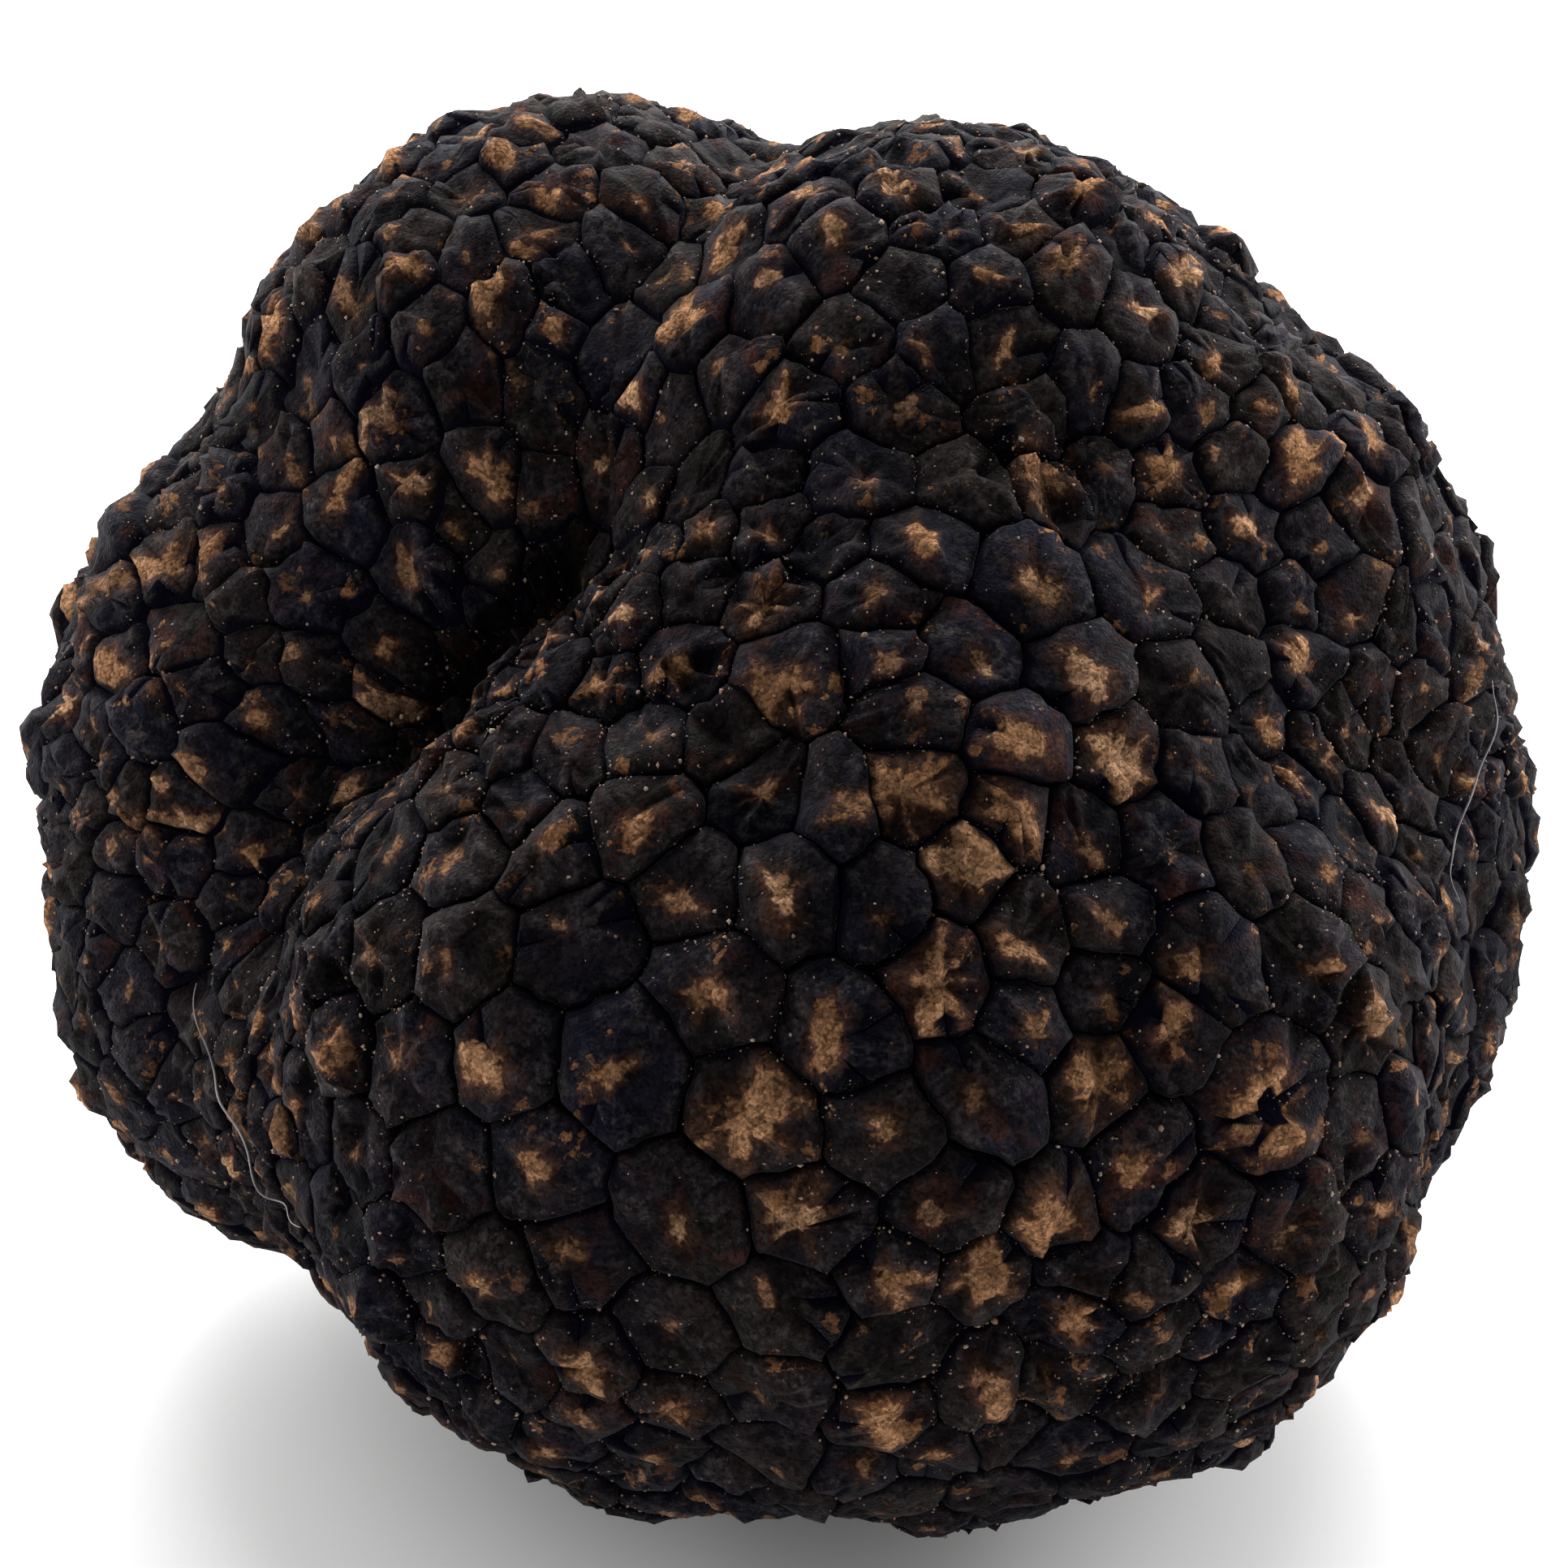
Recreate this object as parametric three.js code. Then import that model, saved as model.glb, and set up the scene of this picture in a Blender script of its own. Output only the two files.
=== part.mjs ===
// A black truffle, the underground fruit of a wild fungus. One solid body, folded into lobes and
// covered all over by low angular warts, each with a blunt four-cornered crown and a sunken crack
// round it. Units are millimetres. The truffle lies on the plane z = 0, on the small flat spot that
// its own weight pressed into the underside, and +z points up.
import * as THREE from 'three';
import { ConvexHull } from 'three/addons/math/ConvexHull.js';

// ---- Driving dimensions ------------------------------------------------------------------------

// The body is drawn along its own growing axes: right, up and out, where out is the broad front.
// As it lies, the front leans back and looks this far above the horizon.
const FRONT_RAISED = THREE.MathUtils.degToRad(32);
// The height of the middle of the growing axes above the surface that the truffle lies on, and its
// place over the middle of the whole truffle's outline seen from above.
const MIDDLE_HEIGHT = 20.6;
const MIDDLE_RIGHT = 0.2;
const MIDDLE_BACK = -1.24;

// The heart, a point deep in the body from which all of its surface can be seen.
const HEART = new THREE.Vector3(-2.5, -1, -6.5);
const REACH = 45; // a distance from the heart that lies outside the body everywhere

// Lobes are ellipsoids: the centre, then the half-widths, along right, up and out.
const FRONT_MASS = [
  { lobe: 'top', at: [4.7, 9.3, -3.5], size: [12.7, 13.5, 13.5] },
  { lobe: 'upper shoulder', at: [10.1, 4.6, -5.0], size: [13.0, 13.6, 13.0] },
  { lobe: 'right shoulder', at: [10.9, -1.9, -6.0], size: [13.5, 13.9, 13.5] },
  { lobe: 'middle', at: [4.2, 1.8, 2.0], size: [12.5, 11.0, 12.5] },
  { lobe: 'right belly', at: [8.6, -7.7, 3.0], size: [12.2, 13.9, 13.0] },
  { lobe: 'belly', at: [3.1, -7.5, 4.5], size: [12.9, 14.5, 14.0] },
  { lobe: 'left belly', at: [-3.8, -7.6, 3.5], size: [12.7, 14.0, 12.8] },
  { lobe: 'left cheek', at: [-7.0, -7.0, 3.0], size: [8.6, 8.9, 10.0] },
  { lobe: 'left knob', at: [-14.6, -7.1, -0.3], size: [4.6, 6.3, 5.0] },
  { lobe: 'underside', at: [2.0, -5.5, -6.0], size: [15.0, 14.0, 14.0] },
  { lobe: 'rear', at: [4.0, 3.0, -12.0], size: [12.0, 12.0, 11.0] },
];
const BACK_MASS = [
  { lobe: 'top left', at: [-6.6, 11.7, -8.0], size: [12.2, 12.2, 12.0] },
  { lobe: 'left', at: [-13.0, 3.5, -9.0], size: [11.5, 11.2, 11.3] },
  { lobe: 'lower left', at: [-12.6, -3.5, -8.0], size: [11.9, 11.7, 11.0] },
];
const FRONT_SOFTNESS = 0.8; // how softly the lobes of the front mass run into each other
const BACK_SOFTNESS = 0.9; // the same for the back mass
const FOLD_SOFTNESS = 0.3; // the front mass meets the back mass in a sharp fold

// Dents are soft hollows: the centre, the spread along right, up and out, and the depth.
const DENTS = [
  { at: [9.8, -4.0, 17.0], spread: [1.8, 2.6, 3.0], depth: 1.0 },
  { at: [4.5, 12.2, 12.5], spread: [4.0, 1.3, 4.0], depth: 0.8 },
  { at: [7.4, -16.0, 14.0], spread: [1.2, 3.0, 4.0], depth: 0.7 },
  { at: [-12.4, 2.4, 4.0], spread: [3.0, 1.5, 4.0], depth: 1.2 },
];

// Long waves make the lobes uneven: the height, then the turns per millimetre and the start of the
// wave along right, up and out.
const WAVES = [
  { height: 0.45, turn: [0.61, 0.53, 0.57], start: [1.3, 0.4, 2.1] },
  { height: 0.25, turn: [1.13, 1.27, 1.19], start: [0.2, 1.9, 0.7] },
];

// Warts. They are widest on the belly, narrower elsewhere and smallest where lobes crowd them.
const WART_COUNT = 1000;
const WART_WIDTH = 2.3;
const WIDER_WARTS = [
  { region: 'belly', at: [1.0, -9.0, 17.0], spread: 8.0, wider: 1.7 },
  { region: 'middle', at: [5.5, 3.0, 13.0], spread: 6.0, wider: 1.1 },
  { region: 'top', at: [4.0, 13.0, 9.0], spread: 5.0, wider: 0.8 },
  { region: 'left cheek', at: [-8.5, -7.0, 11.0], spread: 4.0, wider: 0.6 },
  { region: 'back', at: [2.0, -2.0, -20.0], spread: 11.0, wider: 0.45 },
  { region: 'pierced wart', at: [14.7, -8.4, 14.4], spread: 2.8, wider: 2.2 },
];
const CROWDED_WIDTH = 0.72; // how wide a wart is in a tight fold, against one on the open body
const CROWDING_REACH = 2.5; // how far out of the surface a wart feels a neighbouring lobe
const WIDTH_VARIATION = 0.16; // how far the width wanders over the body, to either side
const WANDER = { right: [0.9, 0.7], up: [0.8, 0.6] }; // turns per millimetre of that wandering
const SEED_PLACES = 12000; // the places that the warts may grow from

// The warts of the front in rows from the top down, right and up of the middle, the pierced one
// first. The rest of the body is covered between and beyond them.
const FRONT_WARTS = [
  [14.7, -8.4], [-3.5, 17.5], [-2, 18.5], [1.5, 18.5], [3.5, 20], [9.5, 20], [9, 17.5], [6.5, 17],
  [11, 16], [12.5, 17.5], [-3, 15.5], [-0.5, 16.5], [2, 15], [4.5, 14.5], [6.5, 15], [9.5, 13.5],
  [13.5, 14.5], [0, 13], [3.5, 13], [8, 12.5], [11, 13], [-3, 10.5], [2.5, 10.5], [5.5, 10.5],
  [8, 10.5], [9.5, 11], [12, 11], [14, 11.5], [-2.5, 9], [-0.5, 9], [1, 8.5], [4, 8.5], [12, 9],
  [14.5, 9], [17, 9], [-5, 6.5], [-0.5, 7], [3, 7], [7.5, 7], [11, 7], [14, 7], [16, 7], [18, 7],
  [-3.5, 5], [0, 4.5], [3, 5], [5.5, 5], [9, 4.5], [12.5, 4.5], [16, 5], [-1.5, 2.5], [4, 3.5],
  [7, 2.5], [10, 2], [12.5, 1.5], [15, 3], [17.5, 3], [15, 1], [-12.5, -1], [-10, -1], [-7, -1],
  [-4.5, 0], [-3, -2], [-0.5, 1], [0, -2], [1.5, 0.5], [3.5, 1], [5.5, -1.5], [7, 0.5], [9, -0.5],
  [11.5, -0.5], [14, -1], [17.5, -0.5], [-12.5, -4], [-10, -4], [-6.5, -3.5], [-2, -5], [3, -2.5],
  [7, -3.5], [9.5, -3], [12.6, -4.3], [16.1, -4.2], [-11.5, -7.5], [-8.5, -7], [-5, -7],
  [1.5, -6.5], [4.5, -4.5], [7, -6], [9.5, -5], [11.5, -6], [18, -6], [-10.5, -10.5], [-7.5, -10.5],
  [-1, -8.5], [3, -9], [6, -8], [9.5, -8], [10.4, -10.4], [17.8, -9.6], [-6.5, -13], [-3, -12],
  [0.5, -12], [3, -13.5], [5, -11.5], [8, -12], [12.1, -12.2], [15.3, -12.3], [-9, -14],
  [-6, -16.5], [-3.5, -15.5], [0, -14.5], [6, -13.5], [9, -13.5], [11, -14], [14, -14.4],
  [-7.5, -19.5], [-4, -19.5], [-3.5, -18], [-0.5, -17.5], [-0.5, -19.5], [3, -18], [6, -17],
  [8.5, -15], [11.5, -15.5], [8, -17], [4.5, -19.5], [11.5, -20.5], [11.5, -17.5],
];
const CORNER_PULL = 0.4; // how far a corner of the net is drawn to the middle of its three warts

const CRACK_DEPTH = 0.75; // how far the net of cracks lies under the body's surface
const WART_HEIGHT = 0.75; // how far the crown of a wart of the usual width stands over the cracks
const HEIGHT_VARIATION = 0.2; // how far warts differ in height, to either side
const CROWN_CORNERS = 4;
const CROWN_SPREAD = 0.46; // the crown's corners, on the way from the middle to the wart's corners
const CROWN_LEAN = 0.16; // how far a crown wanders off the middle, against the way to a corner

const RIND_COLOUR = 0x1f1b1c;

// ---- The smooth body ---------------------------------------------------------------------------

const UP = new THREE.Vector3(0, Math.cos(FRONT_RAISED), Math.sin(FRONT_RAISED));
const OUTWARD_STEP = 0.9; // the part of the distance that one step of the search moves
const SEARCH_STEPS = 70;
const SLOPE_REACH = 0.15; // how far ahead and behind the slope of the distance is taken
const TINY = 1e-9; // keeps a division away from zero

// The distance from p to an ellipsoid's surface, below zero inside and close to true near it.
function lobeDistance(p, { at, size }) {
  const x = (p.x - at[0]) / size[0];
  const y = (p.y - at[1]) / size[1];
  const z = (p.z - at[2]) / size[2];
  const scaled = Math.hypot(x, y, z);
  const slope = Math.hypot(x / size[0], y / size[1], z / size[2]) + TINY;
  return (scaled * (scaled - 1)) / slope;
}

// The least of the distances, rounded where two of them are within the softness of each other.
function softLeast(distances, softness) {
  const least = Math.min(...distances);
  let sum = 0;
  for (const distance of distances) {
    sum += Math.exp((least - distance) / softness);
  }
  return least - softness * Math.log(sum);
}

// How deep the dents are at p: each is a bell curve round its centre.
function dentDepth(p) {
  let depth = 0;
  for (const { at, spread, depth: full } of DENTS) {
    const x = (p.x - at[0]) / spread[0];
    const y = (p.y - at[1]) / spread[1];
    const z = (p.z - at[2]) / spread[2];
    depth += full * Math.exp(-(x * x + y * y + z * z) / 2);
  }
  return depth;
}

// How high the long waves lift the surface at p.
function waveHeight(p) {
  let lift = 0;
  for (const { height, turn, start } of WAVES) {
    const right = Math.sin(turn[0] * p.x + start[0]);
    const up = Math.sin(turn[1] * p.y + start[1]);
    const out = Math.sin(turn[2] * p.z + start[2]);
    lift += height * right * up * out;
  }
  return lift;
}

function bodyDistance(p) {
  const front = softLeast(FRONT_MASS.map((lobe) => lobeDistance(p, lobe)), FRONT_SOFTNESS);
  const back = softLeast(BACK_MASS.map((lobe) => lobeDistance(p, lobe)), BACK_SOFTNESS);
  return softLeast([front, back], FOLD_SOFTNESS) + dentDepth(p) - waveHeight(p);
}

function along(direction, distance) {
  return direction.clone().multiplyScalar(distance).add(HEART);
}

// The distance from the heart to the outermost surface along a direction.
function bodyRadius(direction) {
  let distance = REACH;
  for (let step = 0; step < SEARCH_STEPS; step += 1) {
    distance -= OUTWARD_STEP * Math.max(bodyDistance(along(direction, distance)), 0);
  }
  return distance;
}

// The direction in which the distance from the body grows fastest.
function outwardNormal(p) {
  const slope = (axis) => {
    const ahead = p.clone();
    const behind = p.clone();
    ahead[axis] += SLOPE_REACH;
    behind[axis] -= SLOPE_REACH;
    return bodyDistance(ahead) - bodyDistance(behind);
  };
  return new THREE.Vector3(slope('x'), slope('y'), slope('z')).normalize();
}

// The distance from the heart down to the surface that the truffle lies on, or far beyond it.
function restingRadius(direction) {
  const fall = -direction.dot(UP);
  return fall > TINY ? (MIDDLE_HEIGHT + HEART.dot(UP)) / fall : Infinity;
}

// A point of the rind: the body's surface moved by a height, and flat where it rests.
function rindPoint(direction, height) {
  const radius = Math.min(bodyRadius(direction) + height, restingRadius(direction));
  return along(direction, radius);
}

// ---- The warts ---------------------------------------------------------------------------------

// A number from 0 to 1 that looks random and is always the same for the same count and row.
function scatter(count, row) {
  let mixed = (Math.imul(count, 0x9e3779b1) + Math.imul(row, 0x85ebca6b)) >>> 0;
  mixed = Math.imul(mixed ^ (mixed >>> 15), 0x2c1b3c6d) >>> 0;
  mixed = Math.imul(mixed ^ (mixed >>> 12), 0x297a2d39) >>> 0;
  mixed = (mixed ^ (mixed >>> 15)) >>> 0;
  return mixed / 2 ** 32;
}

// A bell curve round a wart's or a region's centre, 1 at the centre.
function nearness(p, { at, spread }) {
  const [x, y, z] = at;
  const distance = Math.hypot(p.x - x, p.y - y, p.z - z);
  return Math.exp(-(distance * distance) / (2 * spread * spread));
}

// The width of the warts round a point of the surface.
function wartWidth(p) {
  const clear = bodyDistance(p.clone().addScaledVector(outwardNormal(p), CROWDING_REACH));
  const openness = THREE.MathUtils.clamp(clear / CROWDING_REACH, 0, 1);
  const crowding = CROWDED_WIDTH + (1 - CROWDED_WIDTH) * openness;
  const sideways = Math.sin(WANDER.right[0] * p.x + WANDER.right[1] * p.z);
  const wander = sideways * Math.sin(WANDER.up[0] * p.y - WANDER.up[1] * p.x);
  const width = WART_WIDTH * crowding * (1 + WIDTH_VARIATION * wander);
  return WIDER_WARTS.reduce((sum, region) => sum + region.wider * nearness(p, region), width);
}

// A place where a wart may grow, along a direction from the heart.
function placeAlong(direction) {
  const point = along(direction, bodyRadius(direction));
  return { direction, point, width: wartWidth(point), clear: Infinity };
}

// A place on the front, given right and up of the middle: the first surface met from in front.
function frontPlace([right, up]) {
  const point = new THREE.Vector3(right, up, REACH);
  for (let step = 0; step < SEARCH_STEPS; step += 1) {
    point.z -= OUTWARD_STEP * Math.max(bodyDistance(point), 0);
  }
  return placeAlong(point.sub(HEART).normalize());
}

// Places spread evenly over all directions from the heart.
function scatteredPlaces() {
  const places = [];
  for (let count = 0; count < SEED_PLACES; count += 1) {
    const height = 2 * scatter(count, 1) - 1;
    const turn = 2 * Math.PI * scatter(count, 2);
    const ring = Math.sqrt(1 - height * height);
    places.push(placeAlong(new THREE.Vector3(ring * Math.cos(turn), ring * Math.sin(turn), height)));
  }
  return places;
}

// The warts' middles: those of the front first, and then, time after time, the place that is
// furthest from every wart so far, counted in wart widths.
function growWarts() {
  const places = scatteredPlaces();
  const crowd = (place, wart) => {
    const clear = place.point.distanceTo(wart.point) / place.width;
    place.clear = Math.min(place.clear, clear);
  };
  const warts = FRONT_WARTS.map(frontPlace);
  warts.forEach((wart) => places.forEach((place) => crowd(place, wart)));
  while (warts.length < WART_COUNT) {
    const next = places.reduce((a, b) => (b.clear > a.clear ? b : a));
    warts.push(next);
    places.forEach((place) => crowd(place, next));
  }
  return warts;
}

// The net of cracks. Three neighbouring warts meet at each of its corners, and the warts that meet
// are the corners of one face of the convex hull of all the warts' directions.
function crackNet(warts) {
  const numbers = new Map(warts.map((wart, number) => [wart.direction, number]));
  const hull = new ConvexHull().setFromPoints(warts.map((wart) => wart.direction));
  const corners = [];
  const around = warts.map(() => []);
  for (const face of hull.faces) {
    const members = [];
    let edge = face.edge;
    do {
      members.push(numbers.get(edge.head().point));
      edge = edge.next;
    } while (edge !== face.edge);
    const middle = new THREE.Vector3();
    members.forEach((number) => middle.add(warts[number].direction));
    middle.normalize();
    members.forEach((number) => around[number].push(corners.length));
    corners.push(face.normal.clone().lerp(middle, CORNER_PULL).normalize());
  }
  return { corners, around };
}

// The wart's corners in order, turning left round its middle as seen from outside.
function inOrder(direction, cornerNumbers, corners) {
  const side = new THREE.Vector3(0, 0, 1).cross(direction).normalize();
  const ahead = direction.clone().cross(side);
  const angle = (number) => Math.atan2(corners[number].dot(ahead), corners[number].dot(side));
  return [...cornerNumbers].sort((a, b) => angle(a) - angle(b));
}

// All points and triangles of the rind. The net's corners come first and are shared by the warts.
function rindGeometry() {
  const warts = growWarts();
  const { corners, around } = crackNet(warts);
  const points = corners.map((corner) => rindPoint(corner, -CRACK_DEPTH));
  const triangles = [];

  warts.forEach((wart, number) => {
    const ring = inOrder(wart.direction, around[number], corners);
    const height = WART_HEIGHT * (wart.width / WART_WIDTH);
    const lift = height * (1 + HEIGHT_VARIATION * (2 * scatter(number, 3) - 1)) - CRACK_DEPTH;

    // The crown's middle wanders towards one corner, and its own corners point at four others.
    const drift = corners[ring[Math.floor(scatter(number, 4) * ring.length)]];
    const middle = wart.direction.clone().lerp(drift, CROWN_LEAN).normalize();
    const sides = Array.from({ length: CROWN_CORNERS }, (_, side) => side);
    const facing = sides.map((side) => Math.round((side * ring.length) / CROWN_CORNERS));
    const crown = facing.map((place) => {
      const corner = corners[ring[place % ring.length]];
      const direction = middle.clone().lerp(corner, CROWN_SPREAD).normalize();
      return points.push(rindPoint(direction, lift)) - 1;
    });
    sides.slice(2).forEach((side) => triangles.push([crown[0], crown[side - 1], crown[side]]));

    // The flanks run down from the crown to the cracks. Halfway between two corners of the crown
    // they change from one to the other.
    sides.forEach((side) => {
      const nextSide = (side + 1) % CROWN_CORNERS;
      const start = facing[side];
      const end = nextSide === 0 ? ring.length : facing[nextSide];
      const change = Math.floor((start + end) / 2);
      for (let place = start; place < end; place += 1) {
        const top = place < change ? crown[side] : crown[nextSide];
        triangles.push([ring[place], ring[(place + 1) % ring.length], top]);
      }
      triangles.push([ring[change % ring.length], crown[nextSide], crown[side]]);
    });
  });

  const geometry = new THREE.BufferGeometry();
  geometry.setFromPoints(points);
  geometry.setIndex(triangles.flat());
  return geometry;
}

// ---- The truffle as it lies --------------------------------------------------------------------

const geometry = rindGeometry();
geometry.rotateX(Math.PI / 2 - FRONT_RAISED);
geometry.translate(MIDDLE_RIGHT, MIDDLE_BACK, MIDDLE_HEIGHT);
geometry.computeVertexNormals();

const rind = new THREE.MeshStandardMaterial({ color: RIND_COLOUR, roughness: 0.8, metalness: 0 });
const truffle = new THREE.Mesh(geometry, rind);
truffle.name = 'truffle';

const model = new THREE.Group();
model.add(truffle);

export default model;
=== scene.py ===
# %% [markdown]
# # A black truffle
# This lesson dresses the solid of a black truffle: the rind with its cracked warts, the worn tan
# crowns, grains of soil in the cracks, and two fine root hairs. Lengths are worked out in
# millimetres, and one function at the end of each shape turns them into Blender's metres.

# %% Load the solid
import math

import bmesh
import bpy
import numpy as np
from mathutils import Matrix


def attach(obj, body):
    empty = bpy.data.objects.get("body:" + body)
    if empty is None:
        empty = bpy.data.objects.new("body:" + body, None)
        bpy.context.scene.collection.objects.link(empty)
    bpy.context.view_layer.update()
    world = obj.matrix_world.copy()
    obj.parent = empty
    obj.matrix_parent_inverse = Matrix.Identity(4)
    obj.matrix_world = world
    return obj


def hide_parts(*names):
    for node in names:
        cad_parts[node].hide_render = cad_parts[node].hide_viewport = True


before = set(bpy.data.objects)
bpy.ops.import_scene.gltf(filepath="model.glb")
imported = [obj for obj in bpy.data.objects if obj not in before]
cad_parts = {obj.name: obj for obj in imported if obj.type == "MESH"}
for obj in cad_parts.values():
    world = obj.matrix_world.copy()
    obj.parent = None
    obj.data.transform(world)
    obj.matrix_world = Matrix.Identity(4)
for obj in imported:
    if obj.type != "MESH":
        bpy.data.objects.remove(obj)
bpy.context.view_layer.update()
MM = 0.001

# %% [markdown]
# ## Axes and camera
# The truffle grew along its own axes: right, up and out, where out is its broad front. As it
# lies, the front leans back. One small matrix turns points from the growing axes to the frame.
# The camera looks straight at the broad front, so it shares those axes, and a long lens from
# 27 cm keeps the far lobes from shrinking.

# %% Axes and camera
FRONT_RAISED = math.radians(32)
MIDDLE = np.array([0.2, -1.24, 20.6])
RIGHT = np.array([1.0, 0.0, 0.0])
UP = np.array([0.0, math.sin(FRONT_RAISED), math.cos(FRONT_RAISED)])
OUT = np.array([0.0, -math.cos(FRONT_RAISED), math.sin(FRONT_RAISED)])
GROWING_AXES = np.stack([RIGHT, UP, OUT])
CAMERA_PLACE = np.array([-0.12, 1.15, 270.0])
SENSOR_WIDTH = 36.0
VIEW_WIDTH = 50.18  # mm across the render, at the truffle's middle
CLIP_START = 0.01


def in_frame(points):
    """Each point's right, up and out times those axes, plus the middle, in metres."""
    return (points @ GROWING_AXES + MIDDLE) * MM


scene = bpy.context.scene
camera_data = bpy.data.cameras.new("camera")
camera_data.sensor_width = SENSOR_WIDTH
camera_data.lens = SENSOR_WIDTH * CAMERA_PLACE[2] / VIEW_WIDTH
camera_data.clip_start = CLIP_START
camera = bpy.data.objects.new("camera", camera_data)
scene.collection.objects.link(camera)
placed = np.eye(4)
placed[:3, :3] = GROWING_AXES.T
placed[:3, 3] = in_frame(CAMERA_PLACE)
camera.matrix_world = Matrix(placed.tolist())
scene.camera = camera
print("lens, in mm:", round(camera_data.lens, 1))

# %% [markdown]
# ## The smooth body
# Under the warts, a truffle is a heap of soft lobes. Each lobe is an ellipsoid, and a smooth
# minimum of their distances runs them together, as clay does. The front and the back masses
# meet in a sharp fold. Metaballs could do the same, but a formula lets every later step ask how
# far any point is from the surface, and it is the same formula as the solid's.

# %% The smooth body
# Each row is a lobe's centre, then its half-widths, along right, up and out.
FRONT_MASS = np.array([
    [4.7, 9.3, -3.5, 12.7, 13.5, 13.5],  # top
    [10.1, 4.6, -5.0, 13.0, 13.6, 13.0],  # upper shoulder
    [10.9, -1.9, -6.0, 13.5, 13.9, 13.5],  # right shoulder
    [4.2, 1.8, 2.0, 12.5, 11.0, 12.5],  # middle
    [8.6, -7.7, 3.0, 12.2, 13.9, 13.0],  # right belly
    [3.1, -7.5, 4.5, 12.9, 14.5, 14.0],  # belly
    [-3.8, -7.6, 3.5, 12.7, 14.0, 12.8],  # left belly
    [-7.0, -7.0, 3.0, 8.6, 8.9, 10.0],  # left cheek
    [-14.6, -7.1, -0.3, 4.6, 6.3, 5.0],  # left knob
    [2.0, -5.5, -6.0, 15.0, 14.0, 14.0],  # underside
    [4.0, 3.0, -12.0, 12.0, 12.0, 11.0],  # rear
])
BACK_MASS = np.array([
    [-6.6, 11.7, -8.0, 12.2, 12.2, 12.0],  # top left
    [-13.0, 3.5, -9.0, 11.5, 11.2, 11.3],  # left
    [-12.6, -3.5, -8.0, 11.9, 11.7, 11.0],  # lower left
])
FRONT_SOFTNESS = 0.8
BACK_SOFTNESS = 0.9
FOLD_SOFTNESS = 0.3
# Each row is a soft hollow's centre, its spread along the three axes, and its depth.
DENTS = np.array([
    [9.8, -4.0, 17.0, 1.8, 2.6, 3.0, 1.0],
    [4.5, 12.2, 12.5, 4.0, 1.3, 4.0, 0.8],
    [7.4, -16.0, 14.0, 1.2, 3.0, 4.0, 0.7],
    [-12.4, 2.4, 4.0, 3.0, 1.5, 4.0, 1.2],
])
# Each row is a long wave's height, its turns per millimetre, and where it starts.
WAVES = np.array([
    [0.45, 0.61, 0.53, 0.57, 1.3, 0.4, 2.1],
    [0.25, 1.13, 1.27, 1.19, 0.2, 1.9, 0.7],
])
TINY = 1e-9


def length(vectors):
    """The root of the sum of squares along the last axis."""
    return np.sqrt((vectors * vectors).sum(-1))


def unit(vectors):
    """Each vector over its own length."""
    return vectors / length(vectors)[..., None]


def lobe_distance(points, lobe):
    """s(s - 1) over the slope of s, where s is how far out a point is, with 1 on the ellipsoid."""
    scaled = (points - lobe[:3]) / lobe[3:]
    outward = length(scaled)
    return outward * (outward - 1) / (length(scaled / lobe[3:]) + TINY)


def soft_least(distances, softness):
    """The least distance, less the softness times the log of the sum of exp(gap / softness)."""
    distances = np.stack(distances)
    least = distances.min(0)
    return least - softness * np.log(np.exp((least - distances) / softness).sum(0))


def body_distance(points):
    """The soft least of both masses, deeper by each dent's bell curve, less the waves' sines."""
    front = soft_least([lobe_distance(points, lobe) for lobe in FRONT_MASS], FRONT_SOFTNESS)
    back = soft_least([lobe_distance(points, lobe) for lobe in BACK_MASS], BACK_SOFTNESS)
    distance = soft_least([front, back], FOLD_SOFTNESS)
    for dent in DENTS:
        away = (points - dent[:3]) / dent[3:6]
        distance += dent[6] * np.exp(-(away * away).sum(-1) / 2)
    for wave in WAVES:
        distance -= wave[0] * np.sin(wave[1:4] * points + wave[4:]).prod(-1)
    return distance


# %% [markdown]
# ## From the heart to the skin
# All of the surface can be seen from one point deep inside, the heart. So the rind is a function
# of a direction alone: walk in along it from far outside, each time by the distance that is
# still left, until the surface is met.

# %% From the heart to the skin
HEART = np.array([-2.5, -1.0, -6.5])
REACH = 45.0
WALK_SHARE = 0.9
SEARCH_STEPS = 70
SLOPE_REACH = 0.15
UPRIGHT = np.array([0.0, math.cos(FRONT_RAISED), math.sin(FRONT_RAISED)])
HEART_HEIGHT = MIDDLE[2] + HEART @ UPRIGHT


def walk_in(starts, directions):
    """The place on each ray where the walk inward, 0.9 of the distance at a time, ends."""
    points = starts.copy()
    for _ in range(SEARCH_STEPS):
        points -= directions * (WALK_SHARE * np.maximum(body_distance(points), 0))[:, None]
    return points


def skin(directions):
    """The outermost point of the smooth body along each direction from the heart."""
    return walk_in(HEART + REACH * directions, directions)


def raised(directions, smooth, height):
    """The smooth point moved along its ray by a height, but not past the plane it lies on."""
    radius = length(smooth - HEART) + height
    fall = np.maximum(-(directions @ UPRIGHT), TINY)
    return HEART + directions * np.minimum(radius, HEART_HEIGHT / fall)[:, None]


def outward(points):
    """The slope of the distance, by the difference over 0.3 mm along each axis."""
    reach = SLOPE_REACH * np.eye(3)
    slopes = [body_distance(points + step) - body_distance(points - step) for step in reach]
    return unit(np.stack(slopes, -1))


# %% [markdown]
# ## Where the warts grow
# Warts on a rind don't sit in rows or at random: each keeps its neighbours at arm's length. The
# big ones of the front have given places, by right and up. The others follow one after another,
# each at the place that is furthest from all the warts so far. That spacing looks alive, where
# plain random points would leave clumps and bare spots.

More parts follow.
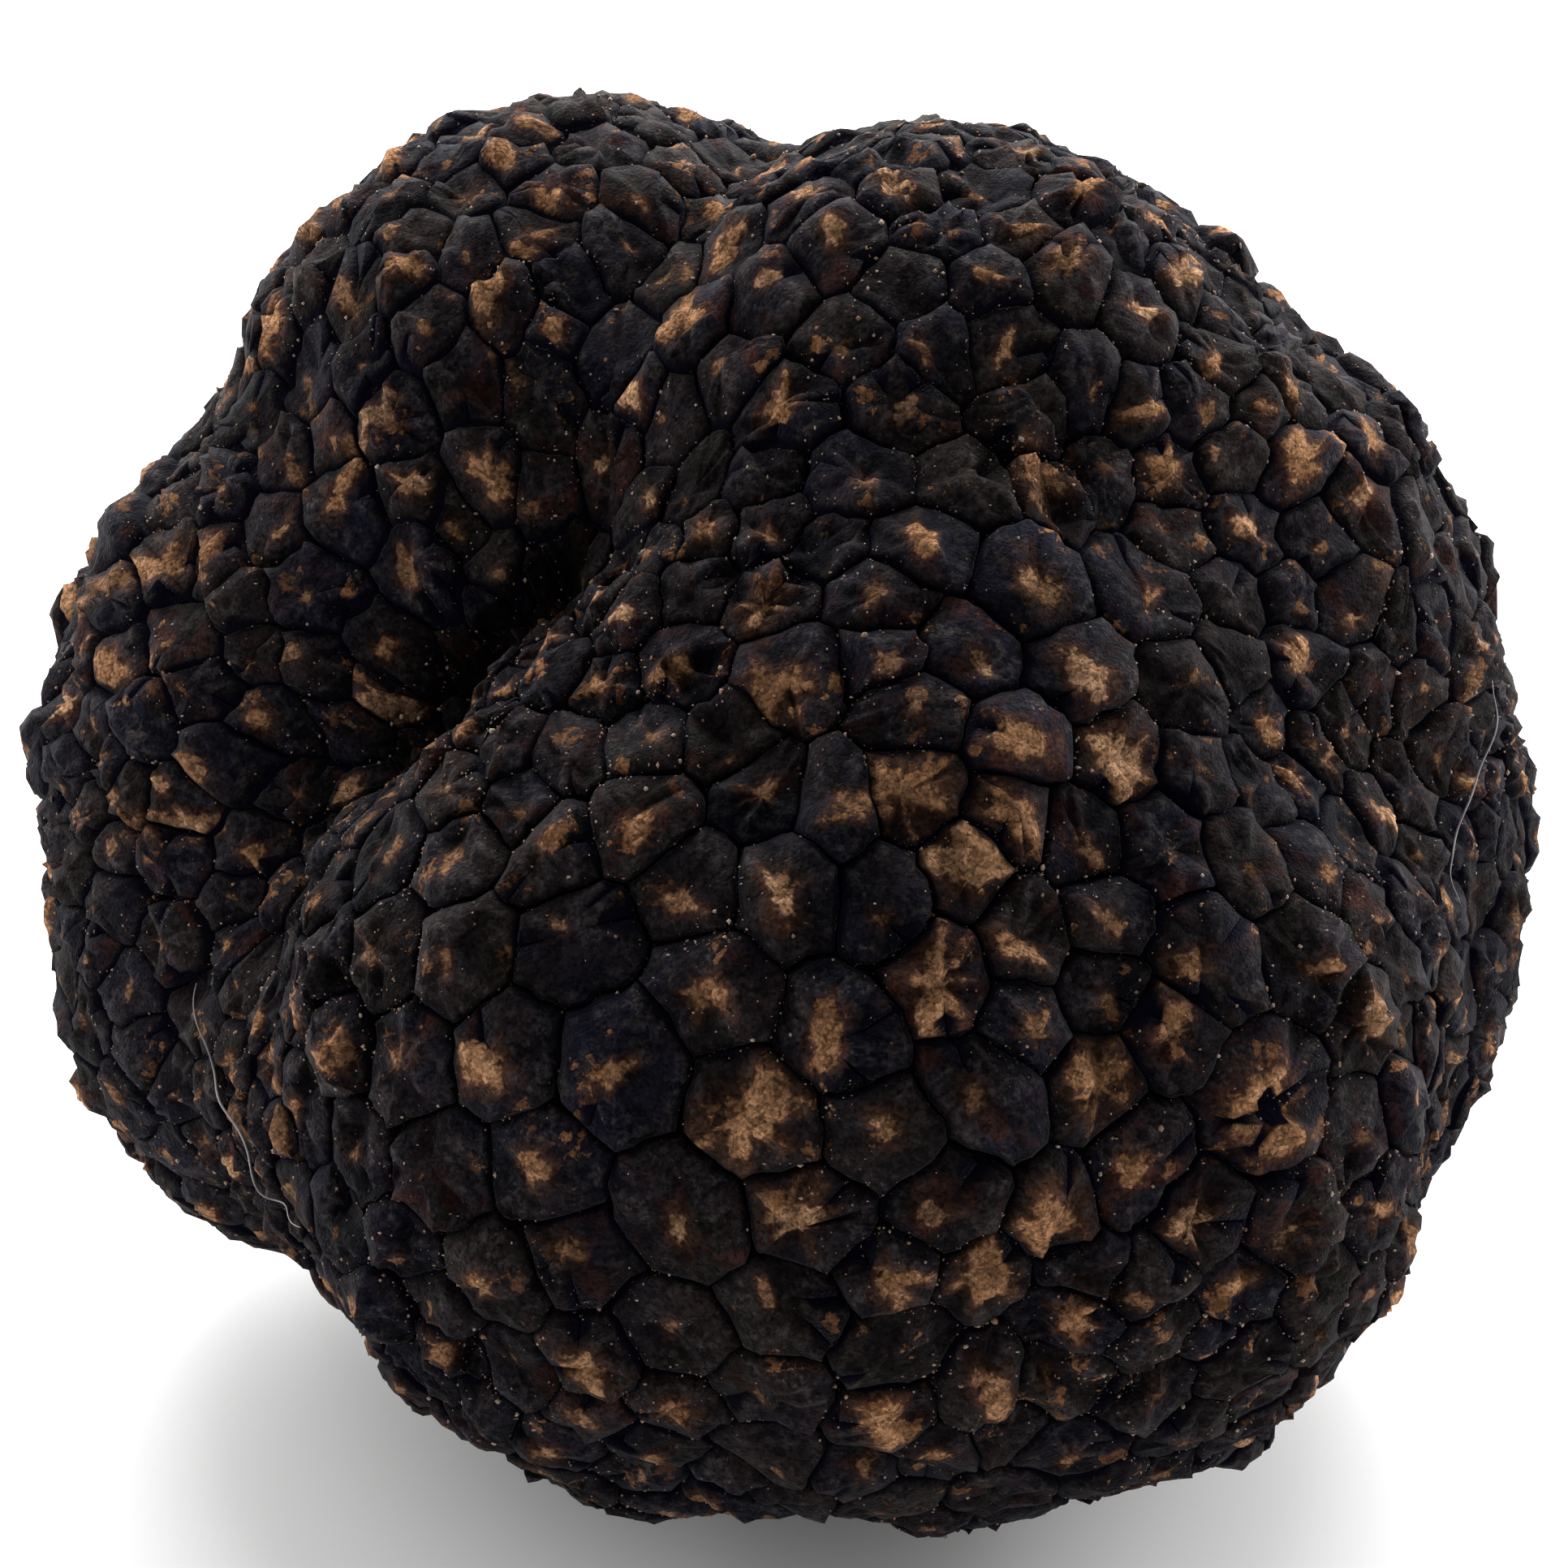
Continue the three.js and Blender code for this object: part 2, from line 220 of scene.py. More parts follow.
# %% Where the warts grow
# Each row is a wart's right and up, and how worn its crown is, from 0 to 3.
FRONT_WARTS = np.array([
    (14.7, -8.4, 3), (-3.5, 17.5, 2), (-2, 18.5, 2), (1.5, 18.5, 2), (3.5, 20, 2), (9.5, 20, 2),
    (9, 17.5, 2), (6.5, 17, 2), (11, 16, 2), (12.5, 17.5, 3), (-3, 15.5, 2), (-0.5, 16.5, 1),
    (2, 15, 1), (4.5, 14.5, 1), (6.5, 15, 2), (9.5, 13.5, 1), (13.5, 14.5, 2), (0, 13, 2),
    (3.5, 13, 1), (8, 12.5, 0), (11, 13, 2), (-3, 10.5, 1), (2.5, 10.5, 1), (5.5, 10.5, 0),
    (8, 10.5, 3), (9.5, 11, 0), (12, 11, 2), (14, 11.5, 1), (-2.5, 9, 2), (-0.5, 9, 2),
    (1, 8.5, 0), (4, 8.5, 2), (12, 9, 1), (14.5, 9, 2), (17, 9, 1), (-5, 6.5, 2), (-0.5, 7, 2),
    (3, 7, 1), (7.5, 7, 3), (11, 7, 2), (14, 7, 0), (16, 7, 1), (18, 7, 2), (-3.5, 5, 2),
    (0, 4.5, 3), (3, 5, 1), (5.5, 5, 1), (9, 4.5, 2), (12.5, 4.5, 1), (16, 5, 2), (-1.5, 2.5, 1),
    (4, 3.5, 1), (7, 2.5, 2), (10, 2, 3), (12.5, 1.5, 1), (15, 3, 2), (17.5, 3, 2), (15, 1, 1),
    (-12.5, -1, 1), (-10, -1, 1), (-7, -1, 1), (-4.5, 0, 2), (-3, -2, 2), (-0.5, 1, 2), (0, -2, 2),
    (1.5, 0.5, 2), (3.5, 1, 3), (5.5, -1.5, 3), (7, 0.5, 2), (9, -0.5, 2), (11.5, -0.5, 0),
    (14, -1, 1), (17.5, -0.5, 1), (-12.5, -4, 1), (-10, -4, 1), (-6.5, -3.5, 1), (-2, -5, 2),
    (3, -2.5, 1), (7, -3.5, 2), (9.5, -3, 1), (12.6, -4.3, 2), (16.1, -4.2, 2), (-11.5, -7.5, 1),
    (-8.5, -7, 3), (-5, -7, 2), (1.5, -6.5, 2), (4.5, -4.5, 3), (7, -6, 1), (9.5, -5, 1),
    (11.5, -6, 2), (18, -6, 2), (-10.5, -10.5, 0), (-7.5, -10.5, 2), (-1, -8.5, 3), (3, -9, 2),
    (6, -8, 1), (9.5, -8, 3), (10.4, -10.4, 2), (17.8, -9.6, 1), (-6.5, -13, 2), (-3, -12, 2),
    (0.5, -12, 2), (3, -13.5, 2), (5, -11.5, 2), (8, -12, 3), (12.1, -12.2, 2),
    (15.3, -12.3, 2), (-9, -14, 2), (-6, -16.5, 2),
    (-3.5, -15.5, 1), (0, -14.5, 1), (6, -13.5, 2), (9, -13.5, 0), (11, -14, 1), (14, -14.4, 2),
    (-7.5, -19.5, 2), (-4, -19.5, 2), (-3.5, -18, 2), (-0.5, -17.5, 1), (-0.5, -19.5, 1),
    (3, -18, 3), (6, -17, 2), (8.5, -15, 2), (11.5, -15.5, 1), (8, -17, 1), (4.5, -19.5, 2),
    (11.5, -20.5, 2), (11.5, -17.5, 1),
])
WART_COUNT = 1000
SEED_PLACES = 12000
WART_WIDTH = 2.3
# Each row is a region of wider warts: its centre, its spread, and how much wider they are.
WIDER_WARTS = np.array([
    [1.0, -9.0, 17.0, 8.0, 1.7],  # belly
    [5.5, 3.0, 13.0, 6.0, 1.1],  # middle
    [4.0, 13.0, 9.0, 5.0, 0.8],  # top
    [-8.5, -7.0, 11.0, 4.0, 0.6],  # left cheek
    [2.0, -2.0, -20.0, 11.0, 0.45],  # back
    [14.7, -8.4, 14.4, 2.8, 2.2],  # pierced wart
])
CROWDED_WIDTH = 0.72
CROWDING_REACH = 2.5
WIDTH_VARIATION = 0.16
WANDER_ACROSS = (0.9, 0.7)  # radians for each mm to the right and outward
WANDER_UP = (0.8, 0.6)  # radians for each mm up and to the left


def scatter(count, row):
    """A number from 0 to 1 for each count: multiply, shift and mix the bits, then over 2^32."""
    mask = 2**32 - 1
    mixed = (count.astype(np.uint64) * 0x9E3779B1 + row * 0x85EBCA6B) & mask
    mixed = ((mixed ^ (mixed >> 15)) * 0x2C1B3C6D) & mask
    mixed = ((mixed ^ (mixed >> 12)) * 0x297A2D39) & mask
    return (mixed ^ (mixed >> 15)) / 2**32


def bell(points, centre, spread):
    """exp(-d^2 / (2 spread^2)), where d is the distance from the centre."""
    away = points - centre
    return np.exp(-(away * away).sum(-1) / (2 * spread**2))


def openness(points):
    """How far the nearest surface is from a point 2.5 mm out, over 2.5: near 0 in a fold."""
    clear = body_distance(points + CROWDING_REACH * outward(points)) / CROWDING_REACH
    return np.clip(clear, 0, 1)


def wart_width(points):
    """The usual width, less in folds, wandering by a product of sines, and more in the regions."""
    right, up, out = points.T
    crowding = CROWDED_WIDTH + (1 - CROWDED_WIDTH) * openness(points)
    wander = np.sin(WANDER_ACROSS[0] * right + WANDER_ACROSS[1] * out)
    wander *= np.sin(WANDER_UP[0] * up - WANDER_UP[1] * right)
    wider = sum(region[4] * bell(points, region[:3], region[3]) for region in WIDER_WARTS)
    return WART_WIDTH * crowding * (1 + WIDTH_VARIATION * wander) + wider


def grow_warts():
    """The front's warts, then time after time the place furthest from all, in wart widths."""
    from_front = np.column_stack([FRONT_WARTS[:, :2], np.full(len(FRONT_WARTS), REACH)])
    front = walk_in(from_front, np.tile([0.0, 0.0, 1.0], (len(FRONT_WARTS), 1)))
    counts = np.arange(SEED_PLACES)
    height = 2 * scatter(counts, 1) - 1
    turn = 2 * math.pi * scatter(counts, 2)
    ring = np.sqrt(1 - height * height)
    anywhere = np.stack([ring * np.cos(turn), ring * np.sin(turn), height], -1)
    directions = np.concatenate([unit(front - HEART), anywhere])
    points = skin(directions)
    width = wart_width(points)
    chosen = list(range(len(FRONT_WARTS)))
    clear = np.full(len(points), np.inf)
    for number in range(WART_COUNT):
        if number >= len(FRONT_WARTS):
            chosen.append(len(FRONT_WARTS) + int(clear[len(FRONT_WARTS):].argmax()))
        clear = np.minimum(clear, length(points - points[chosen[number]]) / width)
    return directions[chosen], points[chosen], width[chosen]


wart_directions, wart_points, wart_widths = grow_warts()
print("warts:", len(wart_points), "widths:", wart_widths.min().round(2), wart_widths.max().round(2))

# %% [markdown]
# ## The net of cracks
# Cracks run halfway between neighbouring warts. On a ball of directions, the neighbours are
# joined by the edges of the convex hull, and the three warts of one hull face meet at one corner
# of the net. Blender's bmesh has a convex hull, so no Voronoi code is needed. Each edge of the
# hull, seen from one of its two warts, then gives one wedge of that wart: from the wart's middle
# to the stretch of crack on that side.

# %% The net of cracks
CORNER_PULL = 0.4
CROWN_LEAN = 0.16


def hull_faces(directions):
    """The convex hull's triangles, turning left as seen from outside."""
    mesh = bpy.data.meshes.new("hull")
    mesh.from_pydata(directions.tolist(), [], [])
    net = bmesh.new()
    net.from_mesh(mesh)
    bmesh.ops.convex_hull(net, input=net.verts)
    net.to_mesh(mesh)
    net.free()
    mesh.calc_loop_triangles()
    faces = np.empty(3 * len(mesh.loop_triangles), np.int32)
    mesh.loop_triangles.foreach_get("vertices", faces)
    bpy.data.meshes.remove(mesh)
    faces = faces.reshape(-1, 3)
    a, b, c = (directions[faces[:, side]] for side in range(3))
    inward = (np.cross(b - a, c - a) * a).sum(-1) < 0
    faces[inward] = faces[inward][:, ::-1]
    return faces


faces = hull_faces(wart_directions)
a, b, c = (wart_directions[faces[:, side]] for side in range(3))
face_normals = unit(np.cross(b - a, c - a))
face_middles = unit(a + b + c)
corner_directions = unit(face_normals + CORNER_PULL * (face_middles - face_normals))
corner_points = skin(corner_directions)

# A wedge for each wart and neighbour. Its left corner is the face on its left, and its right
# corner is the face over the edge, where the twin wedge runs the other way.
wedge_count = faces.size
wart_of = faces.ravel()
neighbour_of = np.roll(faces, -1, axis=1).ravel()
left_of = np.repeat(np.arange(len(faces)), 3)
forward = wart_of * WART_COUNT + neighbour_of
backward = neighbour_of * WART_COUNT + wart_of
twin = np.argsort(forward)[np.searchsorted(np.sort(forward), backward)]
right_of = left_of[twin]
print("corners:", len(faces), "wedges:", wedge_count)

# %% [markdown]
# ## One wedge, cut into triangles
# A wart is low and blunt, its flanks fall to an angular shoulder, and then the crack drops
# steeply. So the rows of points lie close together near the crack and far apart on the crown.
# Subdividing evenly would need ten times the points for the same sharp cracks. Every wedge is cut
# in the same way, and points on shared borders get one number, so that the skin is closed.

# %% One wedge, cut into triangles
ROW_PARTS = [0, 2, 4, 4, 4, 4]  # steps across the wedge in each row, from the middle outward
LAST_ROW = len(ROW_PARTS) - 1
SHOULDER_ROW = 3
LIP_ROW = 4

row_of = np.concatenate([np.full(parts + 1, row) for row, parts in enumerate(ROW_PARTS)])
across = np.concatenate([np.arange(parts + 1) / max(parts, 1) for parts in ROW_PARTS])
step_of = np.concatenate([np.arange(parts + 1) for parts in ROW_PARTS])
row_places = [np.flatnonzero(row_of == row) for row in range(len(ROW_PARTS))]


def fan(middle, outer):
    """Triangles from one place to each step of a row."""
    return [(middle[0], near, far) for near, far in zip(outer, outer[1:])]


def double_strip(inner, outer):
    """Triangles between a row and one with twice its steps, three for each inner step."""
    found = []
    for start, end, near, half, far in zip(inner, inner[1:], outer[::2], outer[1::2], outer[2::2]):
        found += [(start, near, half), (start, half, end), (end, half, far)]
    return found


def strip(inner, outer):
    """Two triangles for each step between equal rows, cut away from the wedge's middle line."""
    found = []
    for step, (start, end, near, far) in enumerate(zip(inner, inner[1:], outer, outer[1:])):
        if 2 * step < len(inner) - 1:
            found += [(start, near, end), (near, far, end)]
        else:
            found += [(start, near, far), (start, far, end)]
    return found


wedge_triangles = np.array(
    fan(row_places[0], row_places[1])
    + double_strip(row_places[1], row_places[2])
    + strip(row_places[2], row_places[3])
    + strip(row_places[3], row_places[4])
    + strip(row_places[4], row_places[5])
)


def point_numbers():
    """A number for each wedge's each place. Middles come first, then corners, then spokes by
    wedge and row, then crack points by the pair of wedges, then the places inside wedges."""
    wedge = np.arange(wedge_count)
    next_wedge = wedge - wedge % 3 + (wedge + 1) % 3
    right_spoke = next_wedge[twin]
    inner_rows = LAST_ROW - 1
    spoke_start = WART_COUNT + len(faces)
    crack_start = spoke_start + wedge_count * inner_rows
    pair = np.minimum(wedge, twin)
    pair_number = np.cumsum(pair == wedge)[pair] - 1
    inside_start = crack_start + (wedge_count // 2) * (ROW_PARTS[-1] - 1)
    inside = (across > 0) & (across < 1) & (row_of > 0) & (row_of < LAST_ROW)
    inside_place = np.cumsum(inside) - 1
    numbers = np.empty((wedge_count, len(row_of)), int)
    for place, (row, part, step) in enumerate(zip(row_of, across, step_of)):
        if row == 0:
            numbers[:, place] = wart_of
        elif row == LAST_ROW and part in (0, 1):
            numbers[:, place] = WART_COUNT + (left_of if part else right_of)
        elif row == LAST_ROW:
            turned = np.where(pair == wedge, step, ROW_PARTS[-1] - step) - 1
            numbers[:, place] = crack_start + pair_number * (ROW_PARTS[-1] - 1) + turned
        elif part in (0, 1):
            spoke = wedge if part else right_spoke
            numbers[:, place] = spoke_start + spoke * inner_rows + row - 1
        else:
            numbers[:, place] = inside_start + wedge * inside.sum() + inside_place[place]
    return numbers


numbers = point_numbers()
point_count = numbers.max() + 1
triangles = numbers[:, wedge_triangles].reshape(-1, 3)
print("points:", point_count, "triangles:", len(triangles))


def gathered(values):
    """The wedges' values, one for each numbered point."""
    found = np.empty((point_count,) + values.shape[2:])
    found[numbers] = np.broadcast_to(values, numbers.shape + values.shape[2:])
    return found


# %% [markdown]
# ## Cracks and slits
# Now each place of a wedge gets its way out from the wart's middle, from 0 there to 1 in the
# crack. Some cracks are hairlines and some gape. A few wedges are slit along their middle line:
# the places beside that line draw in, so that the slit has steep sides. Wart 0 is pierced: its
# first row of points draws in to the rim of a small hole, and slits run out from there. Cutting
# with a Boolean would do all this too, but it would break the even wedges.

# %% Cracks and slits
HALF_GAPES = (0.025, 0.12)  # mm from a crack's bottom line to its lip, between corners
CORNER_HALF_GAPES = (0.05, 0.20)
CROWN_ROWS = (0.0, 0.25, 0.52)
SHOULDER = 0.24  # mm from the crack
SHOULDER_MOST = 0.3  # but no more than this share of the way
LIP_MOST = 0.16
CROWN_ROW = 2  # the last row on the crown
SLIT_SHARE = 0.11
SLIT_DRAW = 0.13
PIERCED_SLIT_EVERY = 3  # wedges of the pierced wart from one slit to the next
HOLE_RIM = 0.20
HOLE_RIM_VARIATION = (0.7, 1.3)
SEED = 4711
draws = np.random.default_rng(SEED)


def blend(first, second, share):
    """first + share (second - first)."""
    return first + share * (second - first)


def skewed(low, high, count, power=2.0):
    """Draws from low to high, raised to a power so that most lie near low."""
    return blend(low, high, draws.random(count) ** power)


first_wedge = np.empty(WART_COUNT, int)
first_wedge[wart_of[::-1]] = np.arange(wedge_count)[::-1]
drift = corner_directions[left_of[first_wedge]]
middle_directions = unit(blend(wart_directions, drift, CROWN_LEAN))
middle_points = skin(middle_directions)
middle = middle_directions[wart_of][:, None]
middle_point = middle_points[wart_of][:, None]
right_corner, left_corner = (corner_directions[side][:, None] for side in (right_of, left_of))
right_point, left_point = (corner_points[side][:, None] for side in (right_of, left_of))

corner_gape = skewed(*CORNER_HALF_GAPES, len(faces))
crack_gape = skewed(*HALF_GAPES, wedge_count)
crack_gape = np.minimum(crack_gape, crack_gape[twin])[:, None]
end_gape = np.where(across < 0.5, corner_gape[right_of][:, None], corner_gape[left_of][:, None])
toward_end = np.abs(2 * across - 1)
gape = blend(crack_gape, end_gape, toward_end**2)

crack_place = blend(right_point, left_point, across[:, None])
half_width = length(crack_place - middle_point)
shoulder = 1 - np.minimum(SHOULDER / half_width, SHOULDER_MOST)
lip = 1 - np.minimum(gape / half_width, LIP_MOST)
crown_way = np.array(CROWN_ROWS)[np.minimum(row_of, SHOULDER_ROW - 1)]
way = np.select([row_of < SHOULDER_ROW, row_of == SHOULDER_ROW, row_of == LIP_ROW],
                [np.broadcast_to(crown_way, lip.shape), shoulder, lip], 1.0)

pierced = (wart_of == 0)[:, None]
hole_rim = pierced & (row_of == 1)
way = np.where(hole_rim, HOLE_RIM * draws.uniform(*HOLE_RIM_VARIATION, way.shape), way)

pierced_wedges = np.flatnonzero(pierced)
slit = draws.random(wedge_count) < SLIT_SHARE
slit[pierced_wedges] = np.arange(len(pierced_wedges)) % PIERCED_SLIT_EVERY == 0
crown_rows = (row_of > 0) & (row_of <= CROWN_ROW)
flank_rows = (row_of >= CROWN_ROW) & (row_of <= SHOULDER_ROW)
slit_rows = np.where(pierced, crown_rows, flank_rows)
drawn_in = np.where(slit_rows, 0.5 + (across - 0.5) * SLIT_DRAW, across)
drawn_in = np.where(toward_end == 1, across, drawn_in)
sideways = np.where(slit[:, None], drawn_in, across)
on_crack = blend(right_corner, left_corner, sideways[..., None])
wedge_directions = unit(blend(middle, on_crack, way[..., None]))
print("slit wedges:", slit.sum(), "gapes, in mm:", gape.min().round(3), gape.max().round(3))

# %% [markdown]
# ## Ripples and creases
# Two kinds of roughness, each a sum of plane waves in random directions, so there is no grid and
# no seam. Sines give soft ripples. Triangle waves have straight slopes and sharp edges, and their
# sum is a field of flat facets, like a crumpled sheet of paper.

# %% Ripples and creases
WARP = 0.06  # mm that the points are pushed sideways, so that no crack is quite straight
WARP_WAVE = 1.1
WARP_SEEDS = (11, 12, 13)
WAVE_VARIATION = (0.7, 1.4)
MEAN_RADIUS = 25.0


def plane_waves(points, wavelength, waves, seed):
    """How many turns of each seeded plane wave lie between the origin and each point."""
    own = np.random.default_rng(seed)
    turns = unit(own.normal(size=(waves, 3))) * own.uniform(*WAVE_VARIATION, (waves, 1))
    return points @ turns.T / wavelength + own.random(waves)


def ripples(points, wavelength, seed, waves=30):
    """The sum of sines of the waves, over the root of half their number."""
    turns = plane_waves(points, wavelength, waves, seed)
    return np.sin(2 * math.pi * turns).sum(-1) / math.sqrt(waves / 2)


def creases(points, wavelength, seed, waves=5):
    """The sum of triangle waves from -1 to 1, over the root of a third of their number."""
    turns = plane_waves(points, wavelength, waves, seed)
    return (4 * np.abs(turns - np.round(turns)) - 1).sum(-1) / math.sqrt(waves / 3)


directions = gathered(wedge_directions)
pushes = [ripples(MEAN_RADIUS * directions, WARP_WAVE, seed) for seed in WARP_SEEDS]
directions = unit(directions + WARP / MEAN_RADIUS * np.stack(pushes, -1))
smooth = skin(directions)
print("smooth skin found for", len(smooth), "points")

# %% [markdown]
# ## The relief
# The form of a wart is a height for each place: low in the crack, high on the crown. Then come
# ridges from the crown to the corners, sectors that stand higher or lower, a lean to one side,
# slits, creases and ripples. Warts in the folds, and in a few spots, are crumpled and pitted: a
# pit is where a soft ripple rises past a limit, and there it is taken from the height. The
# middle of the pierced wart drops to the bottom of its hole.

# %% The relief
CRACK_DEPTH = 0.75
SINK = 0.10  # the flanks are fuller than the solid's, so they stand a little lower
WART_HEIGHT = 0.75
HEIGHT_VARIATION = 0.2
CROWN_RISE = (-0.08, 0.14)
RIDGE_RISE = (0.02, 0.30)
SECTOR_RISE = 0.14
LEAN = 0.08  # mm of height for each mm sideways
STAND = 0.10
# For each row: its share of the wart's height, of the ridges, and of the creases and ripples.
ROW_HEIGHTS = np.array([1.0, 0.99, 0.965, 0.88, 0.69, 0.0])
ROW_RIDGES = np.array([0.0, 0.7, 1.0, 0.5, 0.08, 0.0])
ROW_ROUGHNESS = np.array([1.0, 1.0, 1.0, 0.7, 0.35, 0.3])
RIDGE_BALANCE = 0.4
RIDGE_POWER = 1.5
LEAN_POWER = 3  # the lean fades with this power of the way out
SLIT_DEPTH = 0.34
GAPE_DEPTH = 1.2  # how much deeper a crack is for each mm that it gapes
PIERCED_DEPTH = 0.6
PIERCED_HEIGHT = 0.95
PIERCED_STAND = 0.1
# Each row is a height, a wavelength and a seed. The crumples are for folds and rugged spots.
SOFT_RIPPLES = [(0.035, 0.9, 21), (0.025, 0.5, 22)]
FINE_CREASES = [(0.060, 2.1, 23), (0.045, 1.1, 24)]
CRUMPLES = [(0.15, 2.1, 25), (0.08, 1.0, 26)]
PIT_DEPTH = 0.55
PIT_WAVE = 1.4
PIT_SEED = 27
PIT_SPARENESS = 0.8
FOLD_STRENGTH = 1.15
# Each row is a rugged spot's centre, its spread, and how rugged it is.
RUGGED_SPOTS = np.array([
    [-12.5, -2.5, 5.0, 3.0, 1.2],
    [-9.5, 1.0, 8.0, 2.2, 1.7],
    [-6.5, -0.5, 9.0, 3.0, 1.7],
    [-5.1, 5.7, 7.0, 2.2, 1.7],
    [-3.0, 3.0, 11.5, 2.0, 1.7],
    [-0.5, 7.3, 10.5, 2.2, 1.5],
    [0.5, 0.0, 12.0, 2.0, 1.2],
    [7.4, -15.6, 12.0, 2.4, 1.5],
    [7.5, 10.9, 9.5, 2.0, 1.5],
    [11.4, -1.9, 14.5, 1.5, 1.2],
    [15.9, -4.0, 12.0, 1.3, 1.2],
    [20.5, 3.5, 3.0, 3.2, 0.7],
    [7.0, 19.5, 4.0, 4.0, 0.7],
    [-15.5, -9.0, 3.0, 3.0, 1.0],
    [-14.4, -6.0, 11.4, 2.2, 1.7],
    [-12.8, -9.8, 12.2, 1.6, 1.6],
    [-12.2, -12.6, 11.8, 1.8, 1.6],
    [-10.6, -16.6, 10.0, 2.0, 1.4],
    [6.8, -15.2, 15.2, 1.6, 1.7],
    [10.5, -17.2, 12.6, 1.8, 1.5],
    [14.8, -14.4, 12.6, 2.4, 1.5],
    [17.0, -10.8, 11.7, 2.0, 1.4],
    [17.2, -6.5, 12.8, 1.6, 1.3],
])

fold = np.clip(FOLD_STRENGTH * (1 - openness(smooth)), 0, 1)
rugged = fold.copy()
for spot in RUGGED_SPOTS:
    rugged = np.maximum(rugged, spot[4] * bell(smooth, spot[:3], spot[3]))

wart_number = np.arange(WART_COUNT)
variation = 1 + HEIGHT_VARIATION * (2 * scatter(wart_number, 3) - 1)
wart_height = WART_HEIGHT * wart_widths / WART_WIDTH * variation
wart_height[0] = PIERCED_HEIGHT
crown_rise = draws.uniform(*CROWN_RISE, WART_COUNT)
ridge_rise = skewed(*RIDGE_RISE, WART_COUNT)
lean = draws.normal(0, LEAN, (WART_COUNT, 3))
stand = draws.normal(0, STAND, WART_COUNT)
lean[0] = 0
stand[0] = PIERCED_STAND
sector_rise = draws.uniform(-SECTOR_RISE, SECTOR_RISE, wedge_count) * (wart_of > 0)

offset = blend(middle_point, crack_place, way[..., None]) - middle_point
toward_corner = toward_end**RIDGE_POWER
ridges = ridge_rise[wart_of][:, None] * ROW_RIDGES[row_of] * (toward_corner - RIDGE_BALANCE)
sectors = sector_rise[:, None] * ROW_RIDGES[row_of] * (1 - toward_corner)
leaning = (offset * lean[wart_of][:, None]).sum(-1) + stand[wart_of][:, None]
leaning *= 1 - way**LEAN_POWER
crowns = np.where(row_of == 0, crown_rise[wart_of][:, None], 0)
slits = np.where(slit[:, None] & slit_rows & (across == 0.5), -SLIT_DEPTH, 0)
deeper = np.where(row_of == LAST_ROW, -GAPE_DEPTH * gape, 0)
form = gathered(ROW_HEIGHTS[row_of] * wart_height[wart_of][:, None])
chiselled = gathered(ridges + sectors + leaning + crowns + slits)

rough = sum(height * ripples(smooth, wave, seed) for height, wave, seed in SOFT_RIPPLES)
rough += sum(height * creases(smooth, wave, seed) for height, wave, seed in FINE_CREASES)
crumple = sum(height * creases(smooth, wave, seed) for height, wave, seed in CRUMPLES)
crumple -= PIT_DEPTH * np.clip(ripples(smooth, PIT_WAVE, PIT_SEED) - PIT_SPARENESS, 0, 1)
texture = gathered(ROW_ROUGHNESS[row_of][None, :]) * (rough + rugged * crumple)
lift = form + chiselled + texture + gathered(deeper) - CRACK_DEPTH - SINK
lift[0] = -PIERCED_DEPTH
surface = raised(directions, smooth, lift)
print("relief, in mm:", lift.min().round(2), "to", lift.max().round(2))

# %% [markdown]
# ## From arrays to a mesh
# Building a mesh point by point is slow in Python. Whole arrays go in at one stroke with
# foreach_set instead: the points, the corners of the triangles, and where each triangle starts.
# Facts that a material will read go along in the same way, as attributes.

# %% Helpers for meshes


def make_mesh(name, points, corners):
    """A smooth-shaded mesh from points in millimetres and triangles, in the frame's metres."""
    mesh = bpy.data.meshes.new(name)
    mesh.vertices.add(len(points))
    mesh.vertices.foreach_set("co", in_frame(points).astype(np.float32).ravel())
    mesh.loops.add(corners.size)
    mesh.loops.foreach_set("vertex_index", corners.astype(np.int32).ravel())
    mesh.polygons.add(len(corners))
    mesh.polygons.foreach_set("loop_start", np.arange(0, corners.size, 3, dtype=np.int32))
    mesh.update(calc_edges=True)
    mesh.polygons.foreach_set("use_smooth", np.ones(len(corners), bool))
    piece = bpy.data.objects.new(name, mesh)
    scene.collection.objects.link(piece)
    return piece


def give(piece, name, domain, values):
    """Stores an array as a number or vector attribute of the piece's points, faces or corners."""
    kind, field = ("FLOAT", "value") if values.ndim == 1 else ("FLOAT_VECTOR", "vector")
    attribute = piece.data.attributes.new(name, kind, domain)
    attribute.data.foreach_set(field, values.astype(np.float32).ravel())


# %% [markdown]
# ## Worn crowns
# Where a truffle was rubbed or brushed, the black has gone from the tops of its warts and the tan
# below shows. It could be painted by hand. Here each crown has a patch instead, and each point
# gets its place in it: its sideways distance from the middle along two turned axes, over the
# patch's half-widths, so that the rim is at 1. On the far lobes, and here and there on the front,
# the wear runs in streaks instead, along given lines.

# %% Worn crowns
PATCH_RADII = np.array([0.0, 0.28, 0.46, 0.70])  # mm, by how worn the crown is
PATCH_WIDTH = 3.2  # the width of the warts that those radii are for
PATCH_VARIATION = (0.75, 1.25)
PATCH_IN_FOLD = 0.3  # how large a patch stays deep in a fold
WEAR_SHARES = [0.22, 0.36, 0.34, 0.08]
LEAST_RADIUS = 0.05
PIERCED_RADIUS = 0.95
STRETCH = (1.0, 2.2)
SHIFT = 0.22
STAR = 0.32  # how far a patch reaches out along strong ridges
FAR = 9.0
